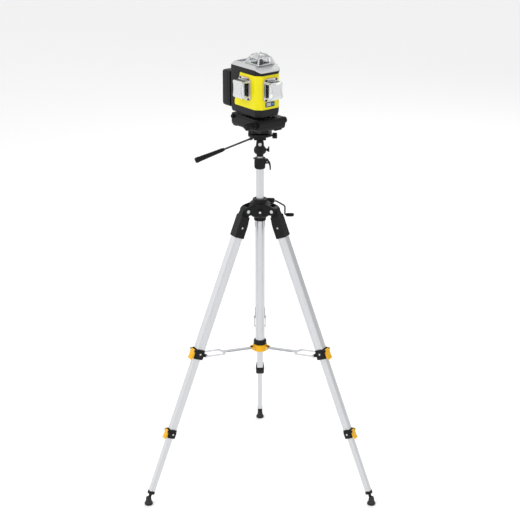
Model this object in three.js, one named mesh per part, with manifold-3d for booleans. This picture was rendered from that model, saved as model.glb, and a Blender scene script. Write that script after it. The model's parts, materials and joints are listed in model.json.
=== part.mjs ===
// A cross-line laser level on a folding aluminium tripod, as separate named solids.
// Millimetres, +Z up. The origin is on the floor, in the middle of the box around the feet.

import * as THREE from 'three';
import { mergeVertices } from 'three/addons/utils/BufferGeometryUtils.js';
import Module from 'manifold-3d';

const wasm = await Module();
wasm.setup();

// ---------- driving dimensions ----------

const GAP = 0.3; // clearance between neighbouring pieces
const PIN_GAP = 0.35; // clearance of a pin in its hole

const LEG_TILT = THREE.MathUtils.degToRad(21.5); // from vertical, legs open
const HINGE_RADIUS = 43; // leg hinge, out from the tripod's axis
const HINGE_HEIGHT = 788;
const LEG_AZIMUTHS = [210, 330, 90]; // front left, front right, back
const PIN_RADIUS = 4;

const UPPER = { wide: 22, deep: 24, wall: 1.5, top: -30, bottom: -412 };
const MIDDLE = { wide: 17, deep: 19, wall: 1.4, top: -344, bottom: -642 };
const LOWER = { wide: 13, deep: 15, wall: 1.3, top: -592, bottom: -814.5 };
const UPPER_CLAMP = { wide: 29, deep: 28, top: -391, bottom: -418 };
const LOWER_CLAMP = { wide: 24, deep: 23, top: -624, bottom: -648 };
const LEVER = { thick: 5, hinge: 3.6, barrel: 3.2, pin: 1.5 };

const FOOT = { height: 26, radius: 11.5, neck: 4.2 };
const FOOT_REACH = HINGE_RADIUS + (HINGE_HEIGHT - FOOT.height / 2) * Math.tan(LEG_TILT);
const AXIS_Y = -FOOT_REACH / 4; // the tripod's axis, so that the feet's box is centred

const EAR_INSET = -20; // spreader pivot on the leg, from the leg's centre line
const EAR_DROP = -404;
const ARM = { wide: 9, tall: 4, eye: 4.6, pin: 2, fork: 52, prong: 2.4, lap: 14.9 };
const HUB_PIVOT = { radius: 24, height: 391 };
const CHEEK = 2.6;

const GUIDE = { outer: 12.5, inner: 11.7, bottom: 383, top: 774 };
const COLUMN = { outer: 10.3, inner: 8.4, bottom: 567, top: 924 };
const INNER_COLUMN = { outer: 8, inner: 6.4, bottom: 730, top: 930 };
const COLLAR = { radius: 14.5, bottom: 897, top: 926, hinge: 18.3, hingeZ: 916.5 };
const CRANK_HEIGHT = 803;
const RACK = { pitch: 1.5 * Math.PI, first: 616, last: 888, root: 10.3, tip: 11.2, wide: 4 };
const PINION = { teeth: 8, root: 5, tip: 6.6, long: 9 };
const CRANK_Y = RACK.tip + PINION.tip - 0.6;

const PAN = { radius: 16.2, bottom: 937.3, top: 957 };
const TILT_HEIGHT = 965;
const SIDE_TILT = { y: 14, height: 984 };
const PLATFORM = { wide: 61.5, bottom: 986, top: 994 };
const SHOE = { wide: 45, bottom: 994.3, top: 1005.7 };
const HANDLE = { yaw: 12, slope: 19, rod: 78, grip: 82, root: -19.3, height: 978.5 };

const LEVEL_YAW = THREE.MathUtils.degToRad(38.3);
const BASE_Z = 1006; // the level's own zero height
const BASE = { half: 41.5, front: -42, back: 71, height: 33 };
const DRIVE = { y: -32, z: 19, shaft: 2.8, flange: 11.1, knob: 9.4, left: 29, right: 17 };
const TURNTABLE = { wheel: 33, neck: 26, bottom: 24, step: 30, top: 37.9 };
const BODY = { half: 40, front: -43, back: 72, bottom: 38.3, chamfer: 14, rear: 4 };
const YELLOW = {
  bottom: BODY.bottom + 20, top: BODY.bottom + 108, thick: 1.6, rearLow: 55, rearHigh: 32.7,
};
const COVER = { front: BODY.bottom + 114.5, side: BODY.bottom + 122, top: BODY.bottom + 131 };
const WINDOW_Z = BODY.bottom + 70.5;
const LEFT_WINDOW_Y = 9.5; // the left window sits behind the dome's axis
const WINDOW_HOLE = { half: 17.4, tall: 20 };
const CAGE = { wide: 48, tall: 59, flange: 3, box: 41, boxTall: 43.5, reach: 22, post: 4.2 };
const DOME = { half: 28, foot: 38.5, eave: 20.5, roof: 12, height: 30, rib: 5 };
const BATTERY = { half: 37, deep: 42.5, bottom: BODY.bottom + 7, top: BODY.bottom + 101 };
const KEYPAD = { half: 28, near: 43.5, far: 65 };
const PENDULUM_PIVOT = BODY.bottom + 100;

// ---------- finishes ----------

const finish = (color, roughness, metalness) => ({ color, roughness, metalness });
const BLACK = finish(0x232426, 0.6, 0);
const CHARCOAL = finish(0x3c3d40, 0.7, 0);
const RUBBER = finish(0x1b1b1c, 0.9, 0);
const YELLOW_PLASTIC = finish(0xf3e614, 0.45, 0);
const MUSTARD = finish(0xf0bd12, 0.5, 0);
const ALUMINIUM = finish(0xd6d9dc, 0.35, 0.9);
const SILVER_PAINT = finish(0xc9cccf, 0.4, 0.6);
const STEEL = finish(0xb9bcc0, 0.3, 1);
const GLASS = finish(0x8d9aa2, 0.05, 0);
const PANEL = finish(0x151b29, 0.3, 0);

// ---------- solids ----------

// The closed solid of a geometry: its corners are merged and its flat slivers dropped.
function solid(geometry) {
  const bare = geometry.clone();
  bare.deleteAttribute('normal');
  bare.deleteAttribute('uv');
  const merged = mergeVertices(bare);
  const index = merged.index.array;
  const kept = [];
  for (let i = 0; i < index.length; i += 3) {
    const [a, b, c] = [index[i], index[i + 1], index[i + 2]];
    if (a !== b && b !== c && c !== a) kept.push(a, b, c);
  }
  const vertProperties = Float32Array.from(merged.attributes.position.array);
  const triVerts = Uint32Array.from(kept);
  return new wasm.Manifold(new wasm.Mesh({ numProp: 3, vertProperties, triVerts }));
}

function geometryOf(body) {
  const mesh = body.getMesh();
  const geometry = new THREE.BufferGeometry();
  geometry.setAttribute('position', new THREE.BufferAttribute(mesh.vertProperties, 3));
  geometry.setIndex(new THREE.BufferAttribute(mesh.triVerts, 1));
  geometry.computeVertexNormals();
  return geometry;
}

function join(...pieces) {
  return geometryOf(pieces.map(solid).reduce((all, next) => all.add(next)));
}

function cut(piece, ...tools) {
  return geometryOf(tools.map(solid).reduce((left, tool) => left.subtract(tool), solid(piece)));
}

function common(piece, other) {
  return geometryOf(solid(piece).intersect(solid(other)));
}

function block(x0, x1, y0, y1, z0, z1) {
  const box = new THREE.BoxGeometry(x1 - x0, y1 - y0, z1 - z0);
  return box.translate((x0 + x1) / 2, (y0 + y1) / 2, (z0 + z1) / 2);
}

// An outline of [x, y] points, with an optional hole, raised from z0 to z1.
function prism(points, z0, z1, hole = null) {
  const shape = new THREE.Shape(points.map(([x, y]) => new THREE.Vector2(x, y)));
  if (hole) shape.holes.push(new THREE.Path(hole.map(([x, y]) => new THREE.Vector2(x, y))));
  const raised = new THREE.ExtrudeGeometry(shape, { depth: z1 - z0, bevelEnabled: false });
  return raised.translate(0, 0, z0);
}

// An outline of [y, z] points, raised along X from x0 to x1.
function slab(points, x0, x1) {
  const turn = new THREE.Matrix4().makeBasis(
    new THREE.Vector3(0, 1, 0),
    new THREE.Vector3(0, 0, 1),
    new THREE.Vector3(1, 0, 0),
  );
  return prism(points, x0, x1).applyMatrix4(turn);
}

// An outline of [x, z] points, raised along Y from y0 to y1.
function wallSlab(points, y0, y1) {
  const turn = new THREE.Matrix4().makeBasis(
    new THREE.Vector3(1, 0, 0),
    new THREE.Vector3(0, 0, 1),
    new THREE.Vector3(0, -1, 0),
  );
  return prism(points, -y1, -y0).applyMatrix4(turn);
}

function circle(radius, sides) {
  const points = [];
  for (let i = 0; i < sides; i += 1) {
    const angle = ((i + 0.5) / sides) * 2 * Math.PI;
    points.push([radius * Math.cos(angle), radius * Math.sin(angle)]);
  }
  return points;
}

function rod(radius, z0, z1, sides = 16) {
  return prism(circle(radius, sides), z0, z1);
}

function pipe(outer, inner, z0, z1, sides = 20) {
  return prism(circle(outer, sides), z0, z1, circle(inner, sides));
}

const rodX = (radius, x0, x1, y, z, sides = 16) =>
  rod(radius, x0, x1, sides).rotateY(Math.PI / 2).translate(0, y, z);
const rodY = (radius, y0, y1, x, z, sides = 16) =>
  rod(radius, y0, y1, sides).rotateX(-Math.PI / 2).translate(x, 0, z);

// A turned solid from its [radius, z] outline, which starts and ends on the axis.
function turned(outline, sides = 20) {
  const points = outline.map(([r, z]) => new THREE.Vector2(r, z));
  return new THREE.LatheGeometry(points, sides).rotateX(Math.PI / 2);
}

function chamferedRectangle(wide, deep, chamfer) {
  const [x, y] = [wide / 2, deep / 2];
  return [
    [x, -y + chamfer], [x, y - chamfer], [x - chamfer, y], [-x + chamfer, y],
    [-x, y - chamfer], [-x, -y + chamfer], [-x + chamfer, -y], [x - chamfer, -y],
  ];
}

// ---------- scene graph ----------

const object = new THREE.Group();
const tripod = new THREE.Group();
tripod.position.y = AXIS_Y;
object.add(tripod);

function place(group, name, geometry, look) {
  const material = new THREE.MeshStandardMaterial(look);
  const mesh = new THREE.Mesh(geometry, material);
  mesh.name = name;
  group.add(mesh);
  return mesh;
}

// ---------- legs ----------
// A leg's own frame has its origin on the hinge, -Z down the leg and +X outward.

function sectionTube({ wide, deep, wall, top, bottom }) {
  const outer = chamferedRectangle(deep, wide, 2.5);
  const inner = chamferedRectangle(deep - 2 * wall, wide - 2 * wall, 2);
  return prism(outer, bottom, top, inner);
}

function clampBody(clamp, section) {
  const hole = chamferedRectangle(section.deep - 2 * section.wall, section.wide - 2 * section.wall, 2);
  const ring = prism(chamferedRectangle(clamp.deep, clamp.wide, 4), clamp.bottom, clamp.top, hole);
  const face = clamp.deep / 2;
  const lugTop = clamp.top - 2;
  const lug = (y) => block(face - 3, face + 6, y - 1.5, y + 1.5, lugTop - 8, lugTop);
  const side = clamp.wide / 2 - 3;
  const pin = rodY(LEVER.pin, -side, side, face + LEVER.hinge, lugTop - 4, 10);
  return join(ring, lug(-side), lug(side), pin);
}

function clampLever(clamp) {
  const half = clamp.wide / 2 - 5;
  const face = clamp.deep / 2 + GAP;
  const x = clamp.deep / 2 + LEVER.hinge;
  const z = clamp.top - 6;
  const plate = block(face, face + LEVER.thick, -half, half, clamp.bottom - 1, z);
  const lip = block(face + 2, face + 2 + LEVER.thick, -half, half, clamp.bottom - 5, clamp.bottom + 3);
  const barrel = rodY(LEVER.barrel, -half, half, x, z, 14);
  const hole = rodY(LEVER.pin + PIN_GAP, -half - 1, half + 1, x, z, 12);
  return cut(join(plate, lip, barrel), hole);
}

// The lug on the clamp's inner side, as wide as the clamp, that an arm's fork straddles.
function spreaderEar() {
  const half = UPPER_CLAMP.wide / 2;
  const root = -UPPER_CLAMP.deep / 2;
  const lug = block(EAR_INSET, root + 1, -half, half, EAR_DROP - 4, EAR_DROP + 4);
  return join(lug, rodY(4, -half, half, EAR_INSET, EAR_DROP, 14));
}

function shoulder() {
  const tongue = rodY(10, -8.8, 8.8, 0, 0, 20);
  const web = block(-8, 9, -8.8, 8.8, -24, 0);
  const sleeve = prism(chamferedRectangle(28, 27, 5), -74, -20);
  const socket = prism(chamferedRectangle(UPPER.deep + 2 * GAP, UPPER.wide + 2 * GAP, 2.4), -75, -29.7);
  const hole = rodY(PIN_RADIUS + PIN_GAP, -10, 10, 0, 0, 16);
  return cut(join(tongue, web, sleeve), socket, hole);
}

function foot() {
  const pad = turned([
    [0, 0], [FOOT.radius, 0], [FOOT.radius, 5], [FOOT.radius - 2, 9],
    [7.5, 13], [7.5, 19], [6, FOOT.height - 3], [0, FOOT.height - 3],
  ]);
  const neck = rod(FOOT.neck, 0, 28, 12).rotateY(-LEG_TILT).translate(0, 0, FOOT.height / 2);
  return join(pad, neck);
}

LEG_AZIMUTHS.forEach((azimuth, i) => {
  const sector = new THREE.Group();
  sector.rotation.z = THREE.MathUtils.degToRad(azimuth);
  tripod.add(sector);
  const leg = new THREE.Group();
  leg.position.set(HINGE_RADIUS, 0, HINGE_HEIGHT);
  leg.rotation.y = -LEG_TILT;
  sector.add(leg);
  const name = `leg_${i + 1}`;
  place(leg, `${name}_shoulder`, shoulder(), BLACK);
  const upper = join(sectionTube(UPPER), clampBody(UPPER_CLAMP, UPPER), spreaderEar());
  place(leg, `${name}_upper_tube`, upper, ALUMINIUM);
  place(leg, `${name}_upper_lever`, clampLever(UPPER_CLAMP), MUSTARD);
  const middle = join(sectionTube(MIDDLE), clampBody(LOWER_CLAMP, MIDDLE));
  place(leg, `${name}_middle_tube`, middle, ALUMINIUM);
  place(leg, `${name}_lower_lever`, clampLever(LOWER_CLAMP), MUSTARD);
  place(leg, `${name}_lower_tube`, sectionTube(LOWER), ALUMINIUM);
  place(sector, `${name}_foot`, foot(), RUBBER).position.x = FOOT_REACH;
});

// ---------- spreader ----------
// The pivot on the open leg, as the distance from the axis and the height.

const EAR_RADIUS = HINGE_RADIUS + EAR_INSET * Math.cos(LEG_TILT) - EAR_DROP * Math.sin(LEG_TILT);
const EAR_HEIGHT = HINGE_HEIGHT + EAR_INSET * Math.sin(LEG_TILT) + EAR_DROP * Math.cos(LEG_TILT);
const ARM_RUN = EAR_RADIUS - HUB_PIVOT.radius;
const ARM_RISE = EAR_HEIGHT - HUB_PIVOT.height;
const ARM_LENGTH = Math.hypot(ARM_RUN, ARM_RISE);

// A flat bar with an eye at the hub and a fork round the leg's clamp at the other end. The fork is
// longer than its lug, so that the leg can pass through it while the tripod folds.
function spreaderArm() {
  const half = ARM.wide / 2;
  const { lap, prong, fork } = ARM;
  const web = ARM_LENGTH - fork;
  const bar = block(0, web, -half, half, -ARM.tall / 2, ARM.tall / 2);
  const cross = block(web - 3, web, -lap - prong, lap + prong, -ARM.tall / 2, ARM.tall / 2);
  const hub = rodY(ARM.eye, -half, half, 0, 0, 16);
  const pieces = [bar, cross, hub];
  for (const y of [lap, -lap - prong]) {
    pieces.push(block(web - 3, ARM_LENGTH, y, y + prong, -ARM.tall / 2, ARM.tall / 2));
    pieces.push(rodY(ARM.eye, y, y + prong, ARM_LENGTH, 0, 16));
  }
  const hole = rodY(ARM.pin + PIN_GAP, -half - 1, half + 1, 0, 0, 12);
  const pivot = rodY(ARM.pin + PIN_GAP, -lap - prong - 1, lap + prong + 1, ARM_LENGTH, 0, 12);
  return cut(join(...pieces), hole, pivot);
}

function spreaderHub() {
  const pieces = [pipe(19, GUIDE.outer + GAP, 380, 399, 24)];
  const y = ARM.wide / 2 + GAP;
  for (const azimuth of LEG_AZIMUTHS) {
    const turn = THREE.MathUtils.degToRad(azimuth);
    const reach = HUB_PIVOT.radius;
    for (const side of [y, -y - CHEEK]) {
      const cheek = block(15, reach, side, side + CHEEK, HUB_PIVOT.height - 5, HUB_PIVOT.height + 5);
      const end = rodY(5, side, side + CHEEK, reach, HUB_PIVOT.height, 14);
      pieces.push(cheek.rotateZ(turn), end.rotateZ(turn));
    }
    pieces.push(rodY(ARM.pin, -y - 1, y + 1, reach, HUB_PIVOT.height, 12).rotateZ(turn));
  }
  return join(...pieces);
}

LEG_AZIMUTHS.forEach((azimuth, i) => {
  const sector = new THREE.Group();
  sector.rotation.z = THREE.MathUtils.degToRad(azimuth);
  tripod.add(sector);
  const arm = place(sector, `spreader_arm_${i + 1}`, spreaderArm(), ALUMINIUM);
  arm.position.set(HUB_PIVOT.radius, 0, HUB_PIVOT.height);
  arm.rotation.y = -Math.atan2(ARM_RISE, ARM_RUN);
});
place(tripod, 'spreader_hub', spreaderHub(), MUSTARD);
place(tripod, 'spreader_collar', pipe(17.5, GUIDE.outer + GAP, 399.3, 412, 24), BLACK);
place(tripod, 'guide_tube', pipe(GUIDE.outer, GUIDE.inner, GUIDE.bottom, GUIDE.top, 24), ALUMINIUM);

// ---------- crown, column and crank ----------

function crown() {
  const pieces = [
    turned([[0, 755], [16, 755], [17, 765], [26, 768], [29, 776], [29, 800], [24, 808], [0, 808]], 24),
    rod(19.5, 807, 815, 24),
    rodX(7, 15, 38, CRANK_Y, CRANK_HEIGHT),
    rodX(11, -11, 11, CRANK_Y, CRANK_HEIGHT),
  ];
  for (const azimuth of LEG_AZIMUTHS) {
    const turn = THREE.MathUtils.degToRad(azimuth);
    for (const side of [9.2, -13.4]) {
      const cheek = block(18, HINGE_RADIUS, side, side + 4.2, 777, 799).rotateZ(turn);
      const end = rodY(11, side, side + 4.2, HINGE_RADIUS, HINGE_HEIGHT, 20).rotateZ(turn);
      pieces.push(cheek, end);
    }
    pieces.push(rodY(PIN_RADIUS, -10, 10, HINGE_RADIUS, HINGE_HEIGHT).rotateZ(turn));
  }
  const columnBore = rod(COLUMN.outer + 2 * GAP, 750, 820, 24);
  const guideBore = rod(GUIDE.outer + GAP, 750, GUIDE.top + GAP, 24);
  const rackSlot = block(-2.7, 2.7, 0, RACK.tip + 0.7, 750, 820);
  const pinionPocket = block(-5.5, 5.5, 8, CRANK_Y + 8, CRANK_HEIGHT - 8, CRANK_HEIGHT + 8);
  const axleBore = rodX(3 + PIN_GAP, -5, 40, CRANK_Y, CRANK_HEIGHT);
  return cut(join(...pieces), columnBore, guideBore, rackSlot, pinionPocket, axleBore);
}

function rackStrip() {
  const teeth = Math.floor((RACK.last - RACK.first) / RACK.pitch);
  const points = [[8.8, RACK.first - 4]];
  const below = Math.round((CRANK_HEIGHT - RACK.first) / RACK.pitch);
  const base = CRANK_HEIGHT + RACK.pitch / 2 - RACK.pitch * below;
  points.push([RACK.root, RACK.first - 4]);
  for (let i = 0; i < teeth; i += 1) {
    const z = base + i * RACK.pitch;
    points.push([RACK.root, z - 1], [RACK.tip, z - 0.5], [RACK.tip, z + 0.5], [RACK.root, z + 1]);
  }
  points.push([RACK.root, RACK.last + 4], [8.8, RACK.last + 4]);
  return slab(points, -RACK.wide / 2, RACK.wide / 2);
}

function pinion() {
  const points = [];
  for (let i = 0; i < PINION.teeth; i += 1) {
    const middle = ((i + 0.5) / PINION.teeth) * 2 * Math.PI + Math.PI / PINION.teeth;
    for (const [radius, half] of [[PINION.root, 0.22], [PINION.tip, 0.08]]) {
      points.push([radius, middle - half]);
    }
    for (const [radius, half] of [[PINION.tip, 0.08], [PINION.root, 0.22]]) {
      points.push([radius, middle + half]);
    }
  }
  const outline = points.map(([r, a]) => [r * Math.cos(a), r * Math.sin(a)]);
  return slab(outline, -PINION.long / 2, PINION.long / 2).translate(0, CRANK_Y, CRANK_HEIGHT);
}

const CRANK = { axleEnd: 40, run: 26, drop: 15, fall: 25, rod: 2.2 };
const CRANK_ARM_X = CRANK.axleEnd + CRANK.run;
const CRANK_GRIP_Z = CRANK_HEIGHT - CRANK.drop - CRANK.fall;

function rodBetween(radius, from, to, sides = 12) {
  const [a, b] = [new THREE.Vector3(...from), new THREE.Vector3(...to)];
  const turn = new THREE.Quaternion().setFromUnitVectors(
    new THREE.Vector3(0, 0, 1),
    b.clone().sub(a).normalize(),
  );
  return rod(radius, 0, a.distanceTo(b), sides).applyQuaternion(turn).translate(a.x, a.y, a.z);
}

function crank() {
  const y = CRANK_Y;
  const knee = [CRANK_ARM_X, y, CRANK_HEIGHT - CRANK.drop];
  const low = [CRANK_ARM_X, y, CRANK_GRIP_Z];
  const ball = (at) => new THREE.SphereGeometry(CRANK.rod * 1.2, 10, 8).translate(...at);
  return join(
    rodX(3, PINION.long / 2 - 1, CRANK.axleEnd, y, CRANK_HEIGHT),
    pinion(),
    ball([CRANK.axleEnd, y, CRANK_HEIGHT]),
    rodBetween(CRANK.rod, [CRANK.axleEnd - 1, y, CRANK_HEIGHT], knee),
    ball(knee),
    rodBetween(CRANK.rod, knee, low),
    ball(low),
    rodX(1.8, CRANK_ARM_X, CRANK_ARM_X + 24, y, CRANK_GRIP_Z, 12),
    rodX(2.6, CRANK_ARM_X + 23.6, CRANK_ARM_X + 25, y, CRANK_GRIP_Z, 12),
  );
}

function crankGrip() {
  const grip = turned([[0, 3], [4, 3], [5, 6], [5, 19], [4, 23.2], [0, 23.2]], 16);
  const bored = cut(grip, rod(1.8 + PIN_GAP, 0, 26, 12));
  return bored.rotateY(Math.PI / 2).translate(CRANK_ARM_X, CRANK_Y, CRANK_GRIP_Z);
}

function columnCollar() {
  const ring = cut(
    turned([[0, COLLAR.bottom], [13.5, COLLAR.bottom], [COLLAR.radius, 908], [COLLAR.radius, 922],
      [13, COLLAR.top], [0, COLLAR.top]], 24),
    rod(COLUMN.outer + GAP, COLLAR.bottom - 1, COLUMN.top + GAP, 24),
    rod(INNER_COLUMN.outer + GAP, COLLAR.bottom, COLLAR.top + 1, 24),
  );
  const lug = (y) => block(12, COLLAR.hinge + 2.5, y - 1.5, y + 1.5, 912, 921);
  return join(ring, lug(-7), lug(7), rodY(LEVER.pin, -7, 7, COLLAR.hinge, COLLAR.hingeZ, 10));
}

function collarLever() {
  const { hinge: x, hingeZ: z } = COLLAR;
  const barrel = rodY(3.4, -5, 5, x, z, 14);
  const outline = [
    [x, z + 3], [x + 3.5, z + 2.5], [x + 9, z - 8], [x + 10, z - 23],
    [x + 7, z - 23], [x + 5.5, z - 10], [x, z - 2.5],
  ];
  const hole = rodY(LEVER.pin + PIN_GAP, -6, 6, x, z, 12);
  return cut(join(barrel, wallSlab(outline, -5, 5)), hole);
}

place(tripod, 'crown', crown(), BLACK);
const columnTube = pipe(COLUMN.outer, COLUMN.inner, COLUMN.bottom, COLUMN.top, 24);
place(tripod, 'centre_column', join(columnTube, rackStrip()), ALUMINIUM);
place(tripod, 'crank', crank(), STEEL);
place(tripod, 'crank_grip', crankGrip(), BLACK);
place(tripod, 'column_collar', columnCollar(), BLACK);
place(tripod, 'collar_lever', collarLever(), CHARCOAL);

function innerColumn() {
  const tube = pipe(INNER_COLUMN.outer, INNER_COLUMN.inner, INNER_COLUMN.bottom, INNER_COLUMN.top, 24);
  return join(tube, rod(9, 929.5, 937), rod(5, 936, 948));
}

place(tripod, 'inner_column', innerColumn(), ALUMINIUM);

// ---------- pan and tilt head ----------

const CLEVIS = { inner: 8.2, outer: 13.5 };

function panBase() {
  const round = turned([[0, PAN.bottom], [14, PAN.bottom], [PAN.radius, 941], [PAN.radius, 953],
    [14, PAN.top], [0, PAN.top]], 24);
  const cheek = (y0, y1) =>
    join(block(-9, 9, y0, y1, 955, TILT_HEIGHT), rodY(9, y0, y1, 0, TILT_HEIGHT, 20));
  const pin = rodY(3, -CLEVIS.outer, CLEVIS.outer, 0, TILT_HEIGHT);
  const sunk = cut(round, rod(5 + PIN_GAP, 930, 948.4), rodX(2 + PIN_GAP, 12, 20, 0, 947, 12));
  return join(
    sunk,
    cheek(CLEVIS.inner, CLEVIS.outer),
    cheek(-CLEVIS.outer, -CLEVIS.inner),
    pin,
  );
}

function panLock() {
  const screw = rodX(2, 12.6, 24, 0, 947, 12);
  const wing = join(block(21, 25, -2.5, 2.5, 939, 955), rodX(4, 17, 23, 0, 947, 12));
  return join(screw, wing);
}

function tiltBody() {
  const tongue = rodY(8, -7.8, 7.8, 0, TILT_HEIGHT, 20);
  const web = block(-7, 7, -7.8, 7.8, TILT_HEIGHT, 978);
  const head = block(-16, 16, -12, 9, 975, 982);
  const barrel = rodX(4.5, -11.5, 11.5, SIDE_TILT.y, SIDE_TILT.height);
  const bridge = block(-11.5, 11.5, 6, SIDE_TILT.y, 976, SIDE_TILT.height);
  const pin = rodX(2.5, -16, 16, SIDE_TILT.y, SIDE_TILT.height, 12);
  const bore = rodY(3 + PIN_GAP, -9, 9, 0, TILT_HEIGHT);
  const socket = rodX(2 + PIN_GAP, -17, -4, 0, HANDLE.height, 12);
  return cut(join(tongue, web, head, barrel, bridge, pin), bore, socket);
}

function alongHandle(geometry) {
  const slope = THREE.MathUtils.degToRad(HANDLE.slope);
  const yaw = THREE.MathUtils.degToRad(HANDLE.yaw);
  return geometry
    .rotateY(-Math.PI / 2 - slope)
    .rotateZ(yaw)
    .translate(HANDLE.root, 0, HANDLE.height);
}

function handleRod() {
  const shaft = join(rod(2.4, 0, HANDLE.rod, 12), rod(4, 1, 8, 12));
  const neck = rodX(2, HANDLE.root, -5, 0, HANDLE.height, 12);
  const knuckle = new THREE.SphereGeometry(2.8, 12, 8).translate(HANDLE.root, 0, HANDLE.height);
  return join(alongHandle(shaft), neck, knuckle);
}

function handleGrip() {
  const start = HANDLE.rod + GAP;
  const end = start + HANDLE.grip;
  return alongHandle(turned([
    [0, start], [3.5, start], [4.2, start + 4], [5.4, start + 40], [7.2, start + 70],
    [7.4, end - 5], [5.5, end], [0, end],
  ]));
}

function platform() {
  const plate = prism(chamferedRectangle(PLATFORM.wide, 56, 9), PLATFORM.bottom, PLATFORM.top);
  const lug = (x0, x1) => {
    const web = block(x0, x1, SIDE_TILT.y - 4, SIDE_TILT.y + 4, SIDE_TILT.height, PLATFORM.bottom + 1);
    return join(web, rodX(4.5, x0, x1, SIDE_TILT.y, SIDE_TILT.height));
  };
  const relief = rodX(5.2, -11.9, 11.9, SIDE_TILT.y, SIDE_TILT.height);
  const bore = rodX(2.5 + PIN_GAP, -17, 17, SIDE_TILT.y, SIDE_TILT.height, 12);
  const screwWell = rod(9.6, PLATFORM.top - 2, PLATFORM.top + 1, 20);
  return cut(join(plate, lug(-17, -12), lug(12, 17)), relief, bore, screwWell);
}

function sideKnob() {
  const { y, height } = SIDE_TILT;
  return join(
    rodX(2.6, 17.4, 33, y, height - 3, 12),
    rodX(8, 32, 44.7, y, height - 3, 12),
  );
}

function quickShoe() {
  const plate = prism(chamferedRectangle(SHOE.wide, SHOE.wide, 4), SHOE.bottom, SHOE.top);
  const screwHole = rod(3.4, SHOE.bottom - 1, SHOE.top + 1);
  const headPocket = rod(9.6, SHOE.bottom - 1, SHOE.bottom + 4.6, 20);
  return cut(plate, screwHole, headPocket);
}

place(tripod, 'pan_base', panBase(), BLACK);
place(tripod, 'pan_lock', panLock(), BLACK);
place(tripod, 'tilt_body', tiltBody(), BLACK);
place(tripod, 'handle_rod', handleRod(), STEEL);
place(tripod, 'handle_grip', handleGrip(), BLACK);
place(tripod, 'platform', platform(), BLACK);
place(tripod, 'side_tilt_knob', sideKnob(), BLACK);
place(tripod, 'quick_shoe', quickShoe(), BLACK);
place(tripod, 'shoe_screw', join(rod(3, 996, 1015), rod(9, 993.2, 998, 20)), STEEL);

// ---------- laser level ----------
// The level's own frame has its origin under the base, +X along the front face, -Y to the front.

const level = new THREE.Group();
level.position.set(0, 0, BASE_Z);
level.rotation.z = LEVEL_YAW;
tripod.add(level);

function levelBase() {
  const { half, front, back, height } = BASE;
  const outline = [
    [half, front], [half, back - 6], [half - 6, back], [-half + 6, back], [-half, back - 6],
    [-half, front],
  ];
  const tray = prism(outline, 0, height);
  const reach = front - 10.5;
  const nose = slab([
    [front + 1, height], [front - 3, height - 0.6], [front - 7, height - 3.6], [reach, height - 9],
    [reach, 12], [front - 8.5, 5], [front - 4, 1], [front + 1, 0],
  ], -half, half);
  const round = rod(TURNTABLE.wheel + 0.6, TURNTABLE.bottom - 0.5, height + 1, 28);
  const slot = block(-14, 14, front, -28, TURNTABLE.bottom - 0.5, TURNTABLE.bottom + 5);
  const bore = rodX(DRIVE.shaft + PIN_GAP, -half - 1, half + 1, DRIVE.y, DRIVE.z, 12);
  const thread = rod(3.4, -1, 12);
  return cut(join(tray, nose), round, slot, bore, thread);
}

function turntable() {
  const { wheel, neck, bottom, step, top } = TURNTABLE;
  const tongue = block(-4, 4, -38, -30, bottom, bottom + 4.2);
  return join(rod(wheel, bottom, step, 28), rod(neck, step - 1, top, 28), tongue);
}

function driveKnobs() {
  const { y, z, shaft, flange, knob, left, right } = DRIVE;
  const edge = BASE.half + GAP;
  return join(
    rodX(shaft, -edge - left + 1, edge + right - 1, y, z, 12),
    rodX(flange, -edge - 4, -edge, y, z, 20),
    rodX(knob, -edge - left, -edge - 3.9, y, z, 20),
    rodX(knob - 0.8, edge, edge + right, y, z, 20),
  );
}

// The body's plan, drawn in by an inset all round.
function bodyOutline(inset) {
  const x = BODY.half - inset;
  const [front, back] = [BODY.front + inset, BODY.back - inset];
  const chamfer = BODY.chamfer - 0.586 * inset;
  const rear = Math.max(BODY.rear - 0.586 * inset, 0.6);
  return [
    [x - chamfer, front], [x, front + chamfer], [x, back - rear], [x - rear, back],
    [-x + rear, back], [-x, back - rear], [-x, front + chamfer], [-x + chamfer, front],
  ];
}

// The line between housing and top cover dips towards the front. A drop moves it down.
function aboveSplit(drop) {
  return slab([
    [-60, COVER.front - drop], [BODY.front + 4, COVER.front - drop], [BODY.front + 15, COVER.side - drop],
    [80, COVER.side - drop], [80, COVER.top + 40], [-60, COVER.top + 40],
  ], -50, 50);
}

function belowSplit() {
  return slab([
    [-60, 0], [80, 0], [80, COVER.side], [BODY.front + 15, COVER.side],
    [BODY.front + 4, COVER.front], [-60, COVER.front],
  ], -50, 50);
}

function yellowZone(grow) {
  const { bottom, top, rearLow, rearHigh } = YELLOW;
  return slab([
    [-60, bottom - grow], [rearLow + grow, bottom - grow], [rearLow + grow, bottom + 10],
    [rearHigh + grow, top - 4], [rearHigh + grow, top + grow], [-60, top + grow],
  ], -50, 50);
}

// The hole behind a window, through the left and the front face.
function windowHoles() {
  const { half, tall } = WINDOW_HOLE;
  const [low, high] = [WINDOW_Z - tall, WINDOW_Z + tall];
  return [
    block(-45, -20, LEFT_WINDOW_Y - half, LEFT_WINDOW_Y + half, low, high),
    block(-half, half, -55, -25, low, high),
  ];
}

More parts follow.
